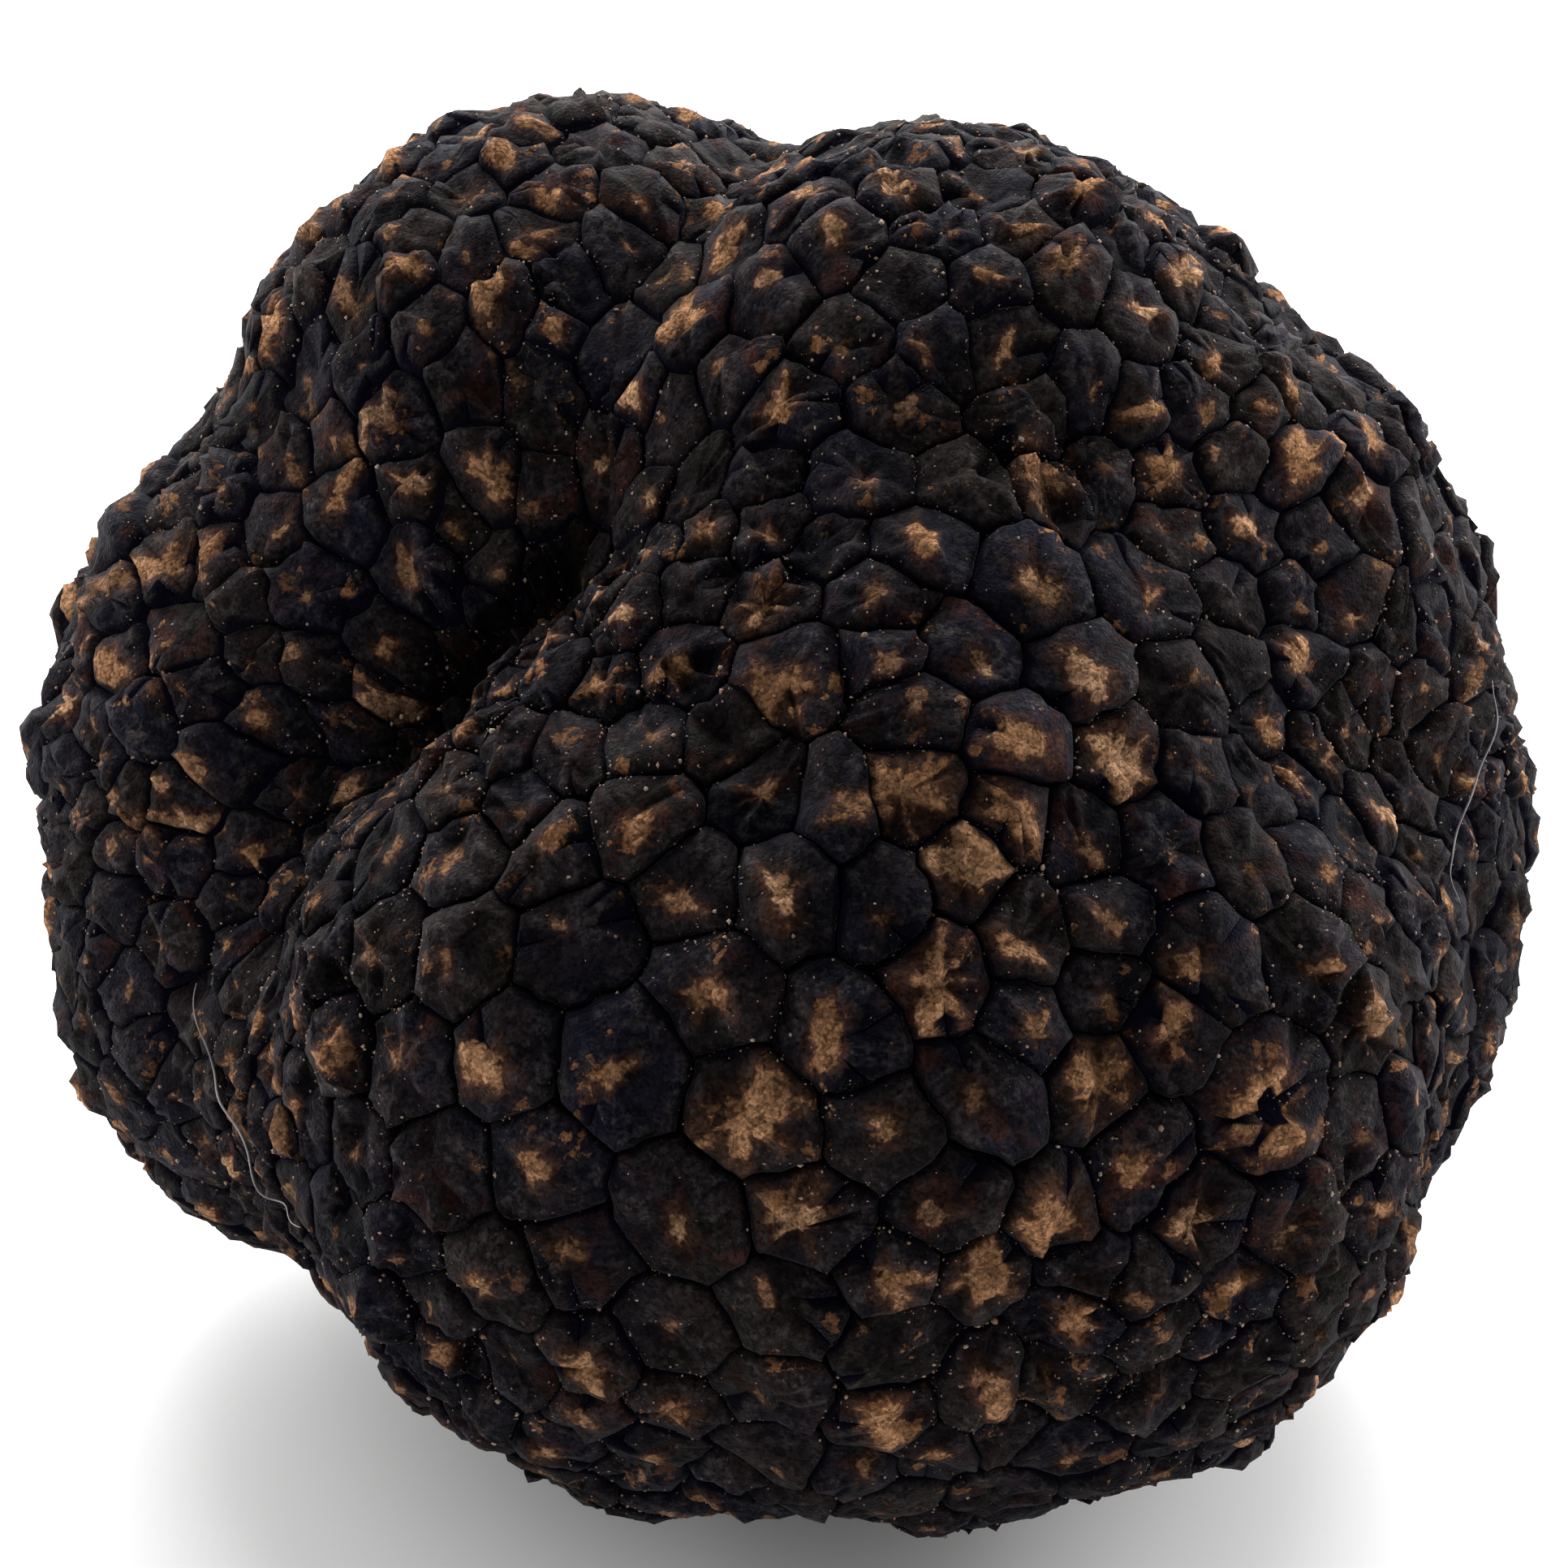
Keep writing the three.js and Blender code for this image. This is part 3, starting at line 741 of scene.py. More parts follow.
# Each row is a worn streak's two ends, by right, up and out, and its half-width.
WORN_STREAKS = np.array([
    [-23.3, 6.9, -5.0, -21.0, 8.1, -2.6, 0.42], [-21.0, 8.1, -2.6, -18.5, 8.7, -0.8, 0.50],
    [-14.3, 10.7, 1.5, -13.8, 12.1, 1.8, 0.40], [-13.8, 12.1, 1.8, -12.8, 13.5, 2.2, 0.36],
    [-14.9, 17.5, -0.9, -14.0, 16.6, 0.1, 0.42], [-14.0, 16.6, 0.1, -12.6, 17.5, 1.0, 0.32],
    [-12.3, 8.6, 2.5, -12.0, 7.6, 2.4, 0.35], [-13.6, 3.6, 1.8, -12.4, 3.7, 1.8, 0.50],
    [-9.0, 18.4, 1.7, -8.1, 18.4, 1.9, 0.30], [-10.6, 20.4, -1.3, -10.3, 20.1, -0.8, 0.36],
    [-12.8, 21.1, -3.3, -12.0, 21.0, -2.6, 0.26], [-7.9, 20.0, 0.3, -7.3, 20.0, 0.5, 0.24],
    [-3.8, 15.2, 5.3, -3.2, 16.4, 4.6, 0.34], [-3.3, 17.5, 3.2, -3.1, 17.3, 3.5, 0.34],
    [-2.1, 18.3, 3.5, -1.6, 18.7, 3.9, 0.34], [-17.0, 16.9, -4.2, -16.9, 15.3, -2.7, 0.36],
    [-15.8, 19.8, -9.1, -15.4, 19.1, -3.6, 0.36], [-8.6, 22.6, -3.0, -7.5, 22.3, -2.5, 0.30],
    [-9.7, 11.3, 3.7, -9.1, 10.6, 3.8, 0.38], [-9.1, 14.7, 3.0, -8.6, 14.0, 3.4, 0.34],
    [-15.7, 14.3, -1.2, -15.3, 12.9, -0.1, 0.24], [-16.2, 11.7, -0.3, -15.7, 10.7, 0.7, 0.22],
    [-20.7, 5.1, -0.7, -20.5, 4.3, 0.1, 0.38], [-22.3, 5.4, -2.6, -21.9, 4.5, -1.9, 0.30],
    [-19.1, 1.8, 1.1, -18.8, 1.4, 1.3, 0.34], [-21.1, -0.1, -0.0, -18.5, -0.2, 1.2, 0.42],
    [-13.0, -2.0, 11.1, -11.9, -0.6, 10.9, 0.26], [-14.0, -1.0, 8.4, -13.0, 0.2, 8.8, 0.26],
    [-16.1, -8.4, 7.4, -15.8, -10.3, 7.4, 0.32], [-17.7, -9.3, 3.4, -16.9, -10.2, 4.7, 0.30],
    [-13.6, -6.4, 11.8, -13.3, -7.4, 12.2, 0.26], [18.0, -5.0, 11.4, 17.8, -6.1, 11.6, 0.24],
    [19.3, -6.4, 9.1, 19.2, -7.3, 9.6, 0.26], [19.3, -12.1, 7.7, 19.5, -13.2, 6.2, 0.36],
    [21.1, -9.4, 1.0, 21.3, -9.6, 0.1, 0.30], [22.0, 4.5, 1.1, 21.9, 3.6, 1.5, 0.40],
    [23.6, -3.4, -1.2, 23.6, -4.3, -2.4, 0.36], [22.1, -5.1, 0.8, 22.2, -5.5, 0.5, 0.26],
    [18.9, 8.2, 4.2, 19.0, 7.6, 4.3, 0.28], [17.1, 2.2, 7.2, 17.0, 1.8, 7.6, 0.30],
    [17.3, -0.3, 8.5, 17.8, -0.7, 8.2, 0.20], [17.3, 12.3, 3.6, 17.7, 11.8, 3.6, 0.28],
    [11.9, 11.3, 7.8, 12.3, 11.1, 7.6, 0.40], [7.4, 11.2, 9.5, 8.0, 9.7, 10.4, 0.52],
    [1.9, -17.8, 14.6, 3.6, -18.4, 13.6, 0.38], [2.6, -13.0, 17.5, 4.4, -13.5, 17.1, 0.20],
    [3.3, -13.3, 17.4, 3.1, -14.4, 16.7, 0.18], [5.8, -12.7, 17.0, 6.3, -13.7, 16.1, 0.42],
    [5.8, -16.7, 14.4, 6.4, -17.7, 13.5, 0.40], [12.0, 4.2, 11.9, 12.7, 4.5, 11.2, 0.15],
    [12.7, 4.5, 11.2, 13.6, 4.2, 10.1, 0.15], [15.9, 5.7, 7.0, 15.9, 4.6, 7.4, 0.20],
    [5.3, -0.9, 16.7, 5.5, -1.3, 16.8, 0.75], [2.9, 0.4, 16.3, 4.3, 1.6, 16.2, 0.32],
    [1.1, 0.1, 16.4, 2.1, 0.4, 16.2, 0.25], [6.8, 0.3, 16.1, 7.1, 0.4, 15.9, 0.34],
    [9.5, 2.2, 13.5, 10.5, 1.9, 13.3, 0.32],
])


def streak_distance(points):
    """The distance from the nearest streak's line, over its half-width, less its clear length."""
    nearest = np.full(len(points), FAR)
    for row in WORN_STREAKS:
        start, line = row[:3], row[3:6] - row[:3]
        share = np.clip((points - start) @ line / (line @ line), 0, 1)
        nearest = np.minimum(nearest, length(points - start - share[:, None] * line) / row[6])
    return nearest


streak = streak_distance(smooth)
others = WART_COUNT - len(FRONT_WARTS)
other_wear = draws.choice(len(WEAR_SHARES), others, p=WEAR_SHARES)
wear = np.concatenate([FRONT_WARTS[:, 2], other_wear]).astype(int)
patch_radius = PATCH_RADII[wear] * wart_widths / PATCH_WIDTH
patch_radius = patch_radius * draws.uniform(*PATCH_VARIATION, WART_COUNT)
patch_radius *= blend(PATCH_IN_FOLD, 1.0, openness(middle_points))
patch_radius[0] = PIERCED_RADIUS
patch_radius = np.maximum(patch_radius, LEAST_RADIUS)[wart_of][:, None]
stretch = draws.uniform(*STRETCH, WART_COUNT)
stretch[0] = 1
stretch = stretch[wart_of][:, None]
turn = draws.uniform(0, math.pi, WART_COUNT)[:, None]
normals = outward(middle_points)
side = unit(np.cross(normals, UP))
ahead = np.cross(normals, side)
long_way = np.cos(turn) * side + np.sin(turn) * ahead
short_way = np.cross(normals, long_way)
shift = draws.normal(0, SHIFT, (WART_COUNT, 2))
shift[0] = 0
along = (offset * long_way[wart_of][:, None]).sum(-1) - shift[wart_of, 0][:, None]
over = (offset * short_way[wart_of][:, None]).sum(-1) - shift[wart_of, 1][:, None]
star = 1 - STAR * (ridge_rise[wart_of][:, None] / RIDGE_RISE[1]) * toward_end
crown_place = np.stack([
    along * star / (patch_radius * np.sqrt(stretch)),
    over * star / (patch_radius / np.sqrt(stretch)),
    np.broadcast_to(wear[wart_of][:, None] / wear.max(), along.shape),
], -1)
print("warts by wear:", np.bincount(wear), "points on streaks:", (streak < 1).sum())

# %% [markdown]
# ## The rind as a mesh
# The rind takes along what its material needs: how far a point is from the nearest crack or
# slit, how high it stands among its neighbours, how deep in a fold it is, where it lies in the
# worn patch of its crown or from a streak, and three random numbers for each wart. The places in
# the patches belong to the corners of faces, because at a crack one point has two warts.

# %% The rind as a mesh
# The hole's gaps let the painted crack shade fill most of the hole.
HOLE_GAPS = (-0.3, 0.12)  # so that the colour of the cracks fills most of the hole
crack_gap = (1 - way) * half_width
crack_length = length(left_point - right_point)
slit_gap = np.abs(sideways - 0.5) * way * crack_length
slit_gap = np.where(slit[:, None] & slit_rows, slit_gap, FAR)
gap = gathered(np.minimum(crack_gap, slit_gap))
gap[0] = HOLE_GAPS[0]
gap[numbers[np.broadcast_to(hole_rim, numbers.shape)]] = HOLE_GAPS[1]
stands = chiselled + texture

rind = make_mesh("truffle_rind", surface, triangles)
give(rind, "gap", "POINT", gap)
give(rind, "stands", "POINT", stands)
give(rind, "fold", "POINT", fold)
give(rind, "streak", "POINT", streak)
give(rind, "crown_place", "CORNER", crown_place[:, wedge_triangles].reshape(-1, 3))
wart_draws = draws.random((WART_COUNT, 3))
give(rind, "wart_draw", "FACE", np.repeat(wart_draws[wart_of], len(wedge_triangles), axis=0))
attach(rind, "root")
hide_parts("truffle")
print("rind:", len(rind.data.polygons), "triangles")

# %% [markdown]
# ## Where soil clings
# Pale soil still clings to the rind, most of it in and beside the cracks and in rugged spots.
# Instances on points could scatter it, but real triangles stay in any export. So every triangle
# of the rind gets a chance: its area, times more beside a crack, times how clumped the soil is
# there, and none next to the floor.

# %% Where soil clings
CRACK_SIDE = 0.22  # mm from a crack's middle to where the most soil lies
CRACK_REACH = 0.25
OPEN_SHARE = 0.16  # the chance away from cracks
CLUMP_WAVE = 6.0
CLUMP_SEED = 41
CLUMP_MEAN = 0.7
CLUMP_SWING = 0.8
LEAST_CLUMP = 0.1
RUGGED_CLUMP = 1.5
FLOOR_CLEAR = 0.4

corner_a, corner_b, corner_c = (surface[triangles[:, side]] for side in range(3))
area = length(np.cross(corner_b - corner_a, corner_c - corner_a)) / 2
beside_crack = np.exp(-(((gap[triangles].mean(1) - CRACK_SIDE) / CRACK_REACH) ** 2))
clear_of_floor = in_frame(surface)[triangles][:, :, 2].min(1) > FLOOR_CLEAR * MM
swing = ripples((corner_a + corner_b + corner_c) / 3, CLUMP_WAVE, CLUMP_SEED)
clumps = np.clip(CLUMP_MEAN + CLUMP_SWING * swing, LEAST_CLUMP, None)
clumps += RUGGED_CLUMP * rugged[triangles].mean(1)
chance = area * (OPEN_SHARE + beside_crack) * clumps * clear_of_floor
print("triangles that can carry soil:", (chance > 0).sum(), "of", len(chance))

# %% [markdown]
# ## Grains of soil
# A grain is a tiny stone with its corners pulled about: twenty-sided for the grains, and
# eight-sided for the finer dust, of which there is more. The twenty-sided stone's corners are the
# points (0, 1, golden number), with both signs and turned round the axes. All grains of a kind
# are one mesh: each is the same list of corners, times its radius, plus its centre.

# %% Grains of soil
GOLDEN = (1 + math.sqrt(5)) / 2
GRAIN_SPREAD = 0.45
GRAIN_RADII = (0.014, 0.09)
GRAIN_SQUASH = (0.5, 1.5)
GRAIN_BUMPS = (0.75, 1.2)
GRAIN_LIFT = 0.5  # radii from the rind to a grain's centre
GOLDEN_PAIRS = np.array([[0, one, other] for one in (-1, 1) for other in (-GOLDEN, GOLDEN)])
ROUND_STONE = np.concatenate([np.roll(GOLDEN_PAIRS, axis, axis=1) for axis in range(3)])
SHARP_STONE = np.concatenate([np.eye(3), -np.eye(3)])
# Each row is a kind of soil: its piece's name, its stone, how many, and their usual radius in mm.
SOILS = [
    ("soil_grains", ROUND_STONE, 6000, 0.031),
    ("soil_dust", SHARP_STONE, 20000, 0.026),
]


def make_soil(name, stone, count, radius):
    """Stones of one kind in one mesh, each at a drawn place on a drawn triangle of the rind."""
    stone = unit(stone)
    stone_faces = hull_faces(stone)
    chosen = draws.choice(len(triangles), count, p=chance / chance.sum())
    shares = draws.dirichlet([1, 1, 1], count)
    centres = (surface[triangles[chosen]] * shares[..., None]).sum(1)
    radii = np.clip(radius * np.exp(draws.normal(0, GRAIN_SPREAD, count)), *GRAIN_RADII)
    squash = draws.uniform(*GRAIN_SQUASH, (count, 1, 3))
    bumps = draws.uniform(*GRAIN_BUMPS, (count, len(stone), 1))
    centres += unit(centres - HEART) * (GRAIN_LIFT * radii)[:, None]
    points = centres[:, None] + radii[:, None, None] * squash * bumps * stone
    first_corner = np.arange(count)[:, None, None] * len(stone)
    soil = make_mesh(name, points.reshape(-1, 3), (first_corner + stone_faces).reshape(-1, 3))
    give(soil, "tone", "FACE", np.repeat(draws.random((count, 3)), len(stone_faces), axis=0))
    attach(soil, "root")
    print(name, count, "grains,", len(soil.data.polygons), "triangles")
    return soil


soils = [make_soil(*soil) for soil in SOILS]

# %% [markdown]
# ## Root hairs
# Two fine root hairs run close over the rind. A bevelled curve would be quick, but a tube from
# arrays shows what that curve does: rings of six points are carried along a path, and a point
# closes each end. The path runs through a few given places, is snapped to the smooth body under
# the warts, and is lifted about a third of a millimetre. So the hairs stand off the rind in most
# places, and dip into a wart in a few.

# %% Root hairs
HAIR_SIDES = 6
HAIR_RINGS = 70
HAIR_WINDOW = 9  # steps of the path that are averaged, an odd number
HAIR_LIFT = 0.35  # mm above the smooth body
HAIR_WANDER = 0.12
HAIR_WAVE = 3.0
HAIR_SEED = 31
HAIR_TAPER = (0.12, 0.88)  # the part of half a sine wave that the radius follows
# Each row is a place on the hair, by right, up and out of the middle.
RIGHT_HAIR = np.array([
    [23.1, 4.7, 0.8], [22.7, 3.3, 1.4], [22.0, 1.5, 2.4], [21.6, 0.4, 3.1], [21.4, -0.9, 3.8],
    [21.2, -1.8, 4.3], [21.5, -2.7, 4.1],
])
LEFT_HAIR = np.array([
    [-19.1, -5.1, 1.8], [-18.8, -6.7, 2.8], [-18.3, -8.0, 3.0], [-17.5, -9.5, 4.2],
    [-16.7, -10.7, 5.0], [-16.0, -11.8, 5.4], [-14.7, -12.4, 8.7],
])
# Each row is a hair: its piece's name, its places, and its greatest radius in mm.
HAIRS = [
    ("root_hair_right", RIGHT_HAIR, 0.036),
    ("root_hair_left", LEFT_HAIR, 0.040),
]


def smooth_path(places, steps):
    """Straight runs between the places, at even steps, then averaged over a sliding window."""
    marks = np.linspace(0, len(places) - 1, steps)
    path = np.stack([np.interp(marks, np.arange(len(places)), axis) for axis in places.T], -1)
    window = np.ones(HAIR_WINDOW) / HAIR_WINDOW
    padded = np.pad(path, ((HAIR_WINDOW // 2, HAIR_WINDOW // 2), (0, 0)), mode="edge")
    return np.stack([np.convolve(axis, window, mode="valid") for axis in padded.T], -1)


def make_hair(name, places, radius):
    """A closed tube that is widest in its middle, along the path lifted off the smooth body."""
    toward = unit(smooth_path(places, HAIR_RINGS) - HEART)
    wander = HAIR_WANDER * ripples(toward * MEAN_RADIUS, HAIR_WAVE, HAIR_SEED)
    path = skin(toward) + toward * (HAIR_LIFT + wander)[:, None]
    forward = unit(np.gradient(path, axis=0))
    first = unit(np.cross(forward, toward))
    second = np.cross(forward, first)
    angles = 2 * math.pi * np.arange(HAIR_SIDES) / HAIR_SIDES
    ring = np.cos(angles)[:, None] * first[:, None] + np.sin(angles)[:, None] * second[:, None]
    taper = np.sin(math.pi * np.linspace(*HAIR_TAPER, HAIR_RINGS))[:, None, None]
    points = np.concatenate([(path[:, None] + radius * taper * ring).reshape(-1, 3), path[[0, -1]]])
    start = np.arange(HAIR_RINGS - 1)[:, None] * HAIR_SIDES
    here = np.arange(HAIR_SIDES)
    after = (here + 1) % HAIR_SIDES
    quads = [start + here, start + after, start + after + HAIR_SIDES, start + here + HAIR_SIDES]
    a, b, c, d = (quad.ravel() for quad in quads)
    ends = len(points) - 2
    last = (HAIR_RINGS - 1) * HAIR_SIDES
    start_cap = np.stack([np.full(HAIR_SIDES, ends), after, here], -1)
    end_cap = np.stack([np.full(HAIR_SIDES, ends + 1), last + here, last + after], -1)
    corners = np.concatenate([np.stack([a, b, c], -1), np.stack([a, c, d], -1), start_cap, end_cap])
    piece = make_mesh(name, points, corners)
    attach(piece, "root")
    return piece


hairs = [make_hair(*hair) for hair in HAIRS]
print("root hairs:", [len(hair.data.polygons) for hair in hairs], "triangles")

# %% [markdown]
# ## Short words for nodes
# The colours are worked out by nodes at every point of the surface, so they stay sharp however
# close one looks, where a painted image would blur. A long chain of nodes is easier to read as
# arithmetic, so a few short functions make each kind of node and hand back its result.

# %% Helpers for nodes
# The numbers of a Mix node's sockets for colours, which share their names with other kinds.
MIX_SHARE = 0
MIX_FIRST = 6
MIX_SECOND = 7
MIX_RESULT = 2


def add_node(tree, kind, inputs=None, **settings):
    """A node of a kind, with settings by name, and its inputs filled or linked by name or number."""
    node = tree.nodes.new(kind)
    for name, value in settings.items():
        setattr(node, name, value)
    for name, value in (inputs or {}).items():
        socket = node.inputs[name]
        if isinstance(value, bpy.types.NodeSocket):
            tree.links.new(value, socket)
        else:
            socket.default_value = value
    return node


def calculate(tree, operation, *values):
    """A Math node's result."""
    return add_node(tree, "ShaderNodeMath", dict(enumerate(values)), operation=operation).outputs[0]


def product(tree, first, *others):
    """All of the values multiplied, one after another."""
    for other in others:
        first = calculate(tree, "MULTIPLY", first, other)
    return first


def weighted(tree, value, factor, extra=0.0):
    """value times factor, plus extra."""
    return calculate(tree, "MULTIPLY_ADD", value, factor, extra)


def ramp(tree, value, low, high, start=0.0, end=1.0):
    """A smooth step from start to end as value goes from low to high."""
    inputs = {"Value": value, "From Min": low, "From Max": high, "To Min": start, "To Max": end}
    return add_node(tree, "ShaderNodeMapRange", inputs, interpolation_type="SMOOTHSTEP").outputs[0]


def mix_colour(tree, share, first, second):
    """The colour that is share of the way from first to second."""
    inputs = {MIX_SHARE: share}
    for socket, colour in ((MIX_FIRST, first), (MIX_SECOND, second)):
        inputs[socket] = (*colour, 1) if isinstance(colour, tuple) else colour
    return add_node(tree, "ShaderNodeMix", inputs, data_type="RGBA").outputs[MIX_RESULT]


def on_vectors(tree, operation, inputs, output="Vector"):
    """A Vector Math node's result."""
    return add_node(tree, "ShaderNodeVectorMath", inputs, operation=operation).outputs[output]


def scale(tree, vector, factor):
    """A colour or vector times a number."""
    return on_vectors(tree, "SCALE", {0: vector, "Scale": factor})


def split(tree, vector):
    """The three parts of a vector."""
    return add_node(tree, "ShaderNodeSeparateXYZ", {0: vector}).outputs


def noise(tree, place, size, detail=2.0, roughness=0.55):
    """Noise whose blots are about size millimetres wide."""
    inputs = {"Vector": place, "Scale": 1 / (size * MM), "Detail": detail, "Roughness": roughness}
    return add_node(tree, "ShaderNodeTexNoise", inputs).outputs[0]


def cells(tree, place, size):
    """Voronoi cells about size millimetres wide: the distance from the middle, three draws."""
    inputs = {"Vector": place, "Scale": 1 / (size * MM)}
    node = add_node(tree, "ShaderNodeTexVoronoi", inputs)
    return node.outputs["Distance"], split(tree, node.outputs["Color"])


def add_bump(tree, shader, height, distance):
    """A Bump node that feeds the shader's normal, with its full height in millimetres."""
    inputs = {"Height": height, "Distance": distance * MM, "Strength": 1.0}
    tree.links.new(add_node(tree, "ShaderNodeBump", inputs).outputs[0], shader.inputs["Normal"])


def new_material(name, roughness, specular):
    """A material with its tree, its Principled shader, and the Object coordinates."""
    material = bpy.data.materials.new(name)
    material.use_nodes = True
    tree = material.node_tree
    shader = tree.nodes["Principled BSDF"]
    shader.inputs["Roughness"].default_value = roughness
    shader.inputs["Specular IOR Level"].default_value = specular
    place = tree.nodes.new("ShaderNodeTexCoord").outputs["Object"]
    return material, tree, shader, place


def read(tree, name, output):
    """An attribute's value, or its vector."""
    return add_node(tree, "ShaderNodeAttribute", attribute_name=name).outputs[output]


# %% [markdown]
# ## Fine grain
# The rind and the soil are both gritty at a tenth of a millimetre. That grit is one node group,
# built once and placed in each material with its own size: a fine noise, less some of the
# distance from the middle of small cells. It also puts out one random tone for each cell.

# %% Fine grain
CLOUD_DETAIL = 2.0
CLOUD_ROUGHNESS = 0.65
CELL_WEIGHT = -0.4
HEIGHT_MIDDLE = 0.2
SOCKETS = [
    ("Place", "INPUT", "NodeSocketVector"),
    ("Grains per metre", "INPUT", "NodeSocketFloat"),
    ("Height", "OUTPUT", "NodeSocketFloat"),
    ("Tone", "OUTPUT", "NodeSocketFloat"),
]

fine_grain = bpy.data.node_groups.new("fine grain", "ShaderNodeTree")
for label, direction, kind in SOCKETS:
    fine_grain.interface.new_socket(label, in_out=direction, socket_type=kind)
given = fine_grain.nodes.new("NodeGroupInput").outputs
result = fine_grain.nodes.new("NodeGroupOutput").inputs
at_place = {"Vector": given["Place"], "Scale": given["Grains per metre"]}
cloud = add_node(fine_grain, "ShaderNodeTexNoise", {
    **at_place, "Detail": CLOUD_DETAIL, "Roughness": CLOUD_ROUGHNESS,
})
pebbles = add_node(fine_grain, "ShaderNodeTexVoronoi", at_place)
height = weighted(fine_grain, pebbles.outputs["Distance"], CELL_WEIGHT, cloud.outputs[0])
fine_grain.links.new(calculate(fine_grain, "ADD", height, HEIGHT_MIDDLE), result["Height"])
fine_grain.links.new(split(fine_grain, pebbles.outputs["Color"])[0], result["Tone"])
print("fine grain:", len(fine_grain.nodes), "nodes")


def use_grain(tree, place, grains):
    """The fine grain's height, about 0.2 to 0.8, and each grain's tone, from 0 to 1."""
    inputs = {"Place": place, "Grains per metre": grains}
    node = add_node(tree, "ShaderNodeGroup", inputs, node_tree=fine_grain)
    return node.outputs["Height"], node.outputs["Tone"]


# %% [markdown]
# ## The rind's patterns
# A fresh rind is coal black, but no two warts are the same black. Its patterns come from noise of
# four sizes, from flakes, which are small bent cells, and from the attributes of the mesh. Each
# is made once here, and the next cells mix them. The rind is nearly matt.

# %% Rind: patterns
COAL_BLUE = (0.0048, 0.0050, 0.0094)
COAL_BROWN = (0.0112, 0.0083, 0.0080)
MAROON = (0.0230, 0.0090, 0.0075)
BLOOM = (0.0270, 0.0228, 0.0228)
RUSSET = (0.0520, 0.0230, 0.0125)
TAN = (0.168, 0.080, 0.036)
PALE_TAN = (0.290, 0.170, 0.098)
# The near-black blue below is painted shade for the cracks, slits and the hole.
PAINTED_CRACK_SHADE = (0.0020, 0.0016, 0.0052)
RIND_ROUGHNESS = 0.62
WORN_ROUGHNESS = 0.88
RIND_SPECULAR = 0.01
RIND_SHEEN = 0.05
RIND_SHEEN_ROUGHNESS = 0.3
RIND_GRAINS = 9000.0  # per metre
BLOT_SIZE = 3.6  # these sizes are in mm
SOFT_BLOT_SIZE = 1.3
FLECK_SIZE = 0.34
FLECK_DETAIL = 4.0
FLECK_ROUGHNESS = 0.66
FLAKE_SIZE = 0.40
FLAKE_BEND = 0.25

rind_material, tree, shader, place = new_material("rind", RIND_ROUGHNESS, RIND_SPECULAR)
shader.inputs["Sheen Weight"].default_value = RIND_SHEEN
shader.inputs["Sheen Roughness"].default_value = RIND_SHEEN_ROUGHNESS
wart_draw = read(tree, "wart_draw", "Vector")
draw = split(tree, wart_draw)
crown = split(tree, read(tree, "crown_place", "Vector"))
gap_here = read(tree, "gap", "Fac")
stands_here = read(tree, "stands", "Fac")
grain, tone = use_grain(tree, place, RIND_GRAINS)
flecks = noise(tree, place, FLECK_SIZE, FLECK_DETAIL, FLECK_ROUGHNESS)
blots = noise(tree, place, BLOT_SIZE)
soft_blots = noise(tree, place, SOFT_BLOT_SIZE)
bends = add_node(tree, "ShaderNodeTexNoise", {
    "Vector": place, "Scale": 1 / (FLAKE_SIZE * MM), "Detail": 1.0,
}).outputs["Color"]
bent_place = on_vectors(tree, "ADD", {0: place, 1: scale(tree, bends, FLAKE_BEND * MM)})
flakes = cells(tree, bent_place, FLAKE_SIZE)[1]
print("patterns:", len(tree.nodes), "nodes")

# %% [markdown]
# ## Coal, maroon and bloom
# Between blue-black and brown-black, each wart has a colour of its own, from its random number.
# A little maroon shows on some, and a thin grey-brown bloom of dust lies in flecks. Each is a mix
# whose share is a smooth step of the patterns.

# %% Rind: coal, maroon and bloom
# A step is where a ramp starts and ends, and then its values there if they aren't 0 and 1.
OWN_WARMTH = 0.30
WARM_STEP = (0.42, 0.88)
RED_BLOT_STEP = (0.5, 0.72)
RED_WART_STEP = (0.35, 0.9)
BLOOM_STEP = (0.44, 0.62)
DUSTY_STEP = (0.62, 0.36, 0.1, 0.9)

warmth = weighted(tree, draw[0], OWN_WARMTH, blots)
colour = mix_colour(tree, ramp(tree, warmth, *WARM_STEP), COAL_BLUE, COAL_BROWN)
red_blots = ramp(tree, soft_blots, *RED_BLOT_STEP)
reddish = product(tree, red_blots, ramp(tree, draw[1], *RED_WART_STEP))
colour = mix_colour(tree, reddish, colour, MAROON)
bloom_flecks = ramp(tree, flecks, *BLOOM_STEP)
bloom = product(tree, bloom_flecks, ramp(tree, soft_blots, *DUSTY_STEP))
colour = mix_colour(tree, bloom, colour, BLOOM)

# %% [markdown]
# ## Tan on the worn crowns
# The place in the patch is at 1 on a smooth rim, but real wear is ragged. So lumps, flecks and
# flakes are added to it, and fingers, which are noise read by the direction from the middle
# alone. High places wear first. Where the sum falls below a limit, the rind is tan, and round
# that lies a wider halo of russet.

# %% Rind: worn crowns
FINGER_COUNT = 1.7  # more gives more fingers round a patch
FINGER_SPREAD = 40.0  # so far apart do the warts read the noise
LUMP_SIZE = 0.75
LUMP_WEIGHT = 1.6
FLECK_WEIGHT = 1.1
FLAKE_WEIGHT = 0.4
HIGH_WEIGHT = -1.2
RAGGED_MEAN = 2.05
HALO_SHARE = 0.8
HALO_STEP = (2.15, 0.7)
WORN_STEP = (1.10, 0.65)
WORN_GRAIN_STEP = (0.28, 0.46, 0.3, 1.0)
STRENGTH_STEP = (0.0, 1.0, 0.35, 1.0)
PALE_WART_STEP = (0.5, 1.0, 0.3, 1.0)
PALE_FLAKE_STEP = (0.0, 1.0, 0.5, 1.0)

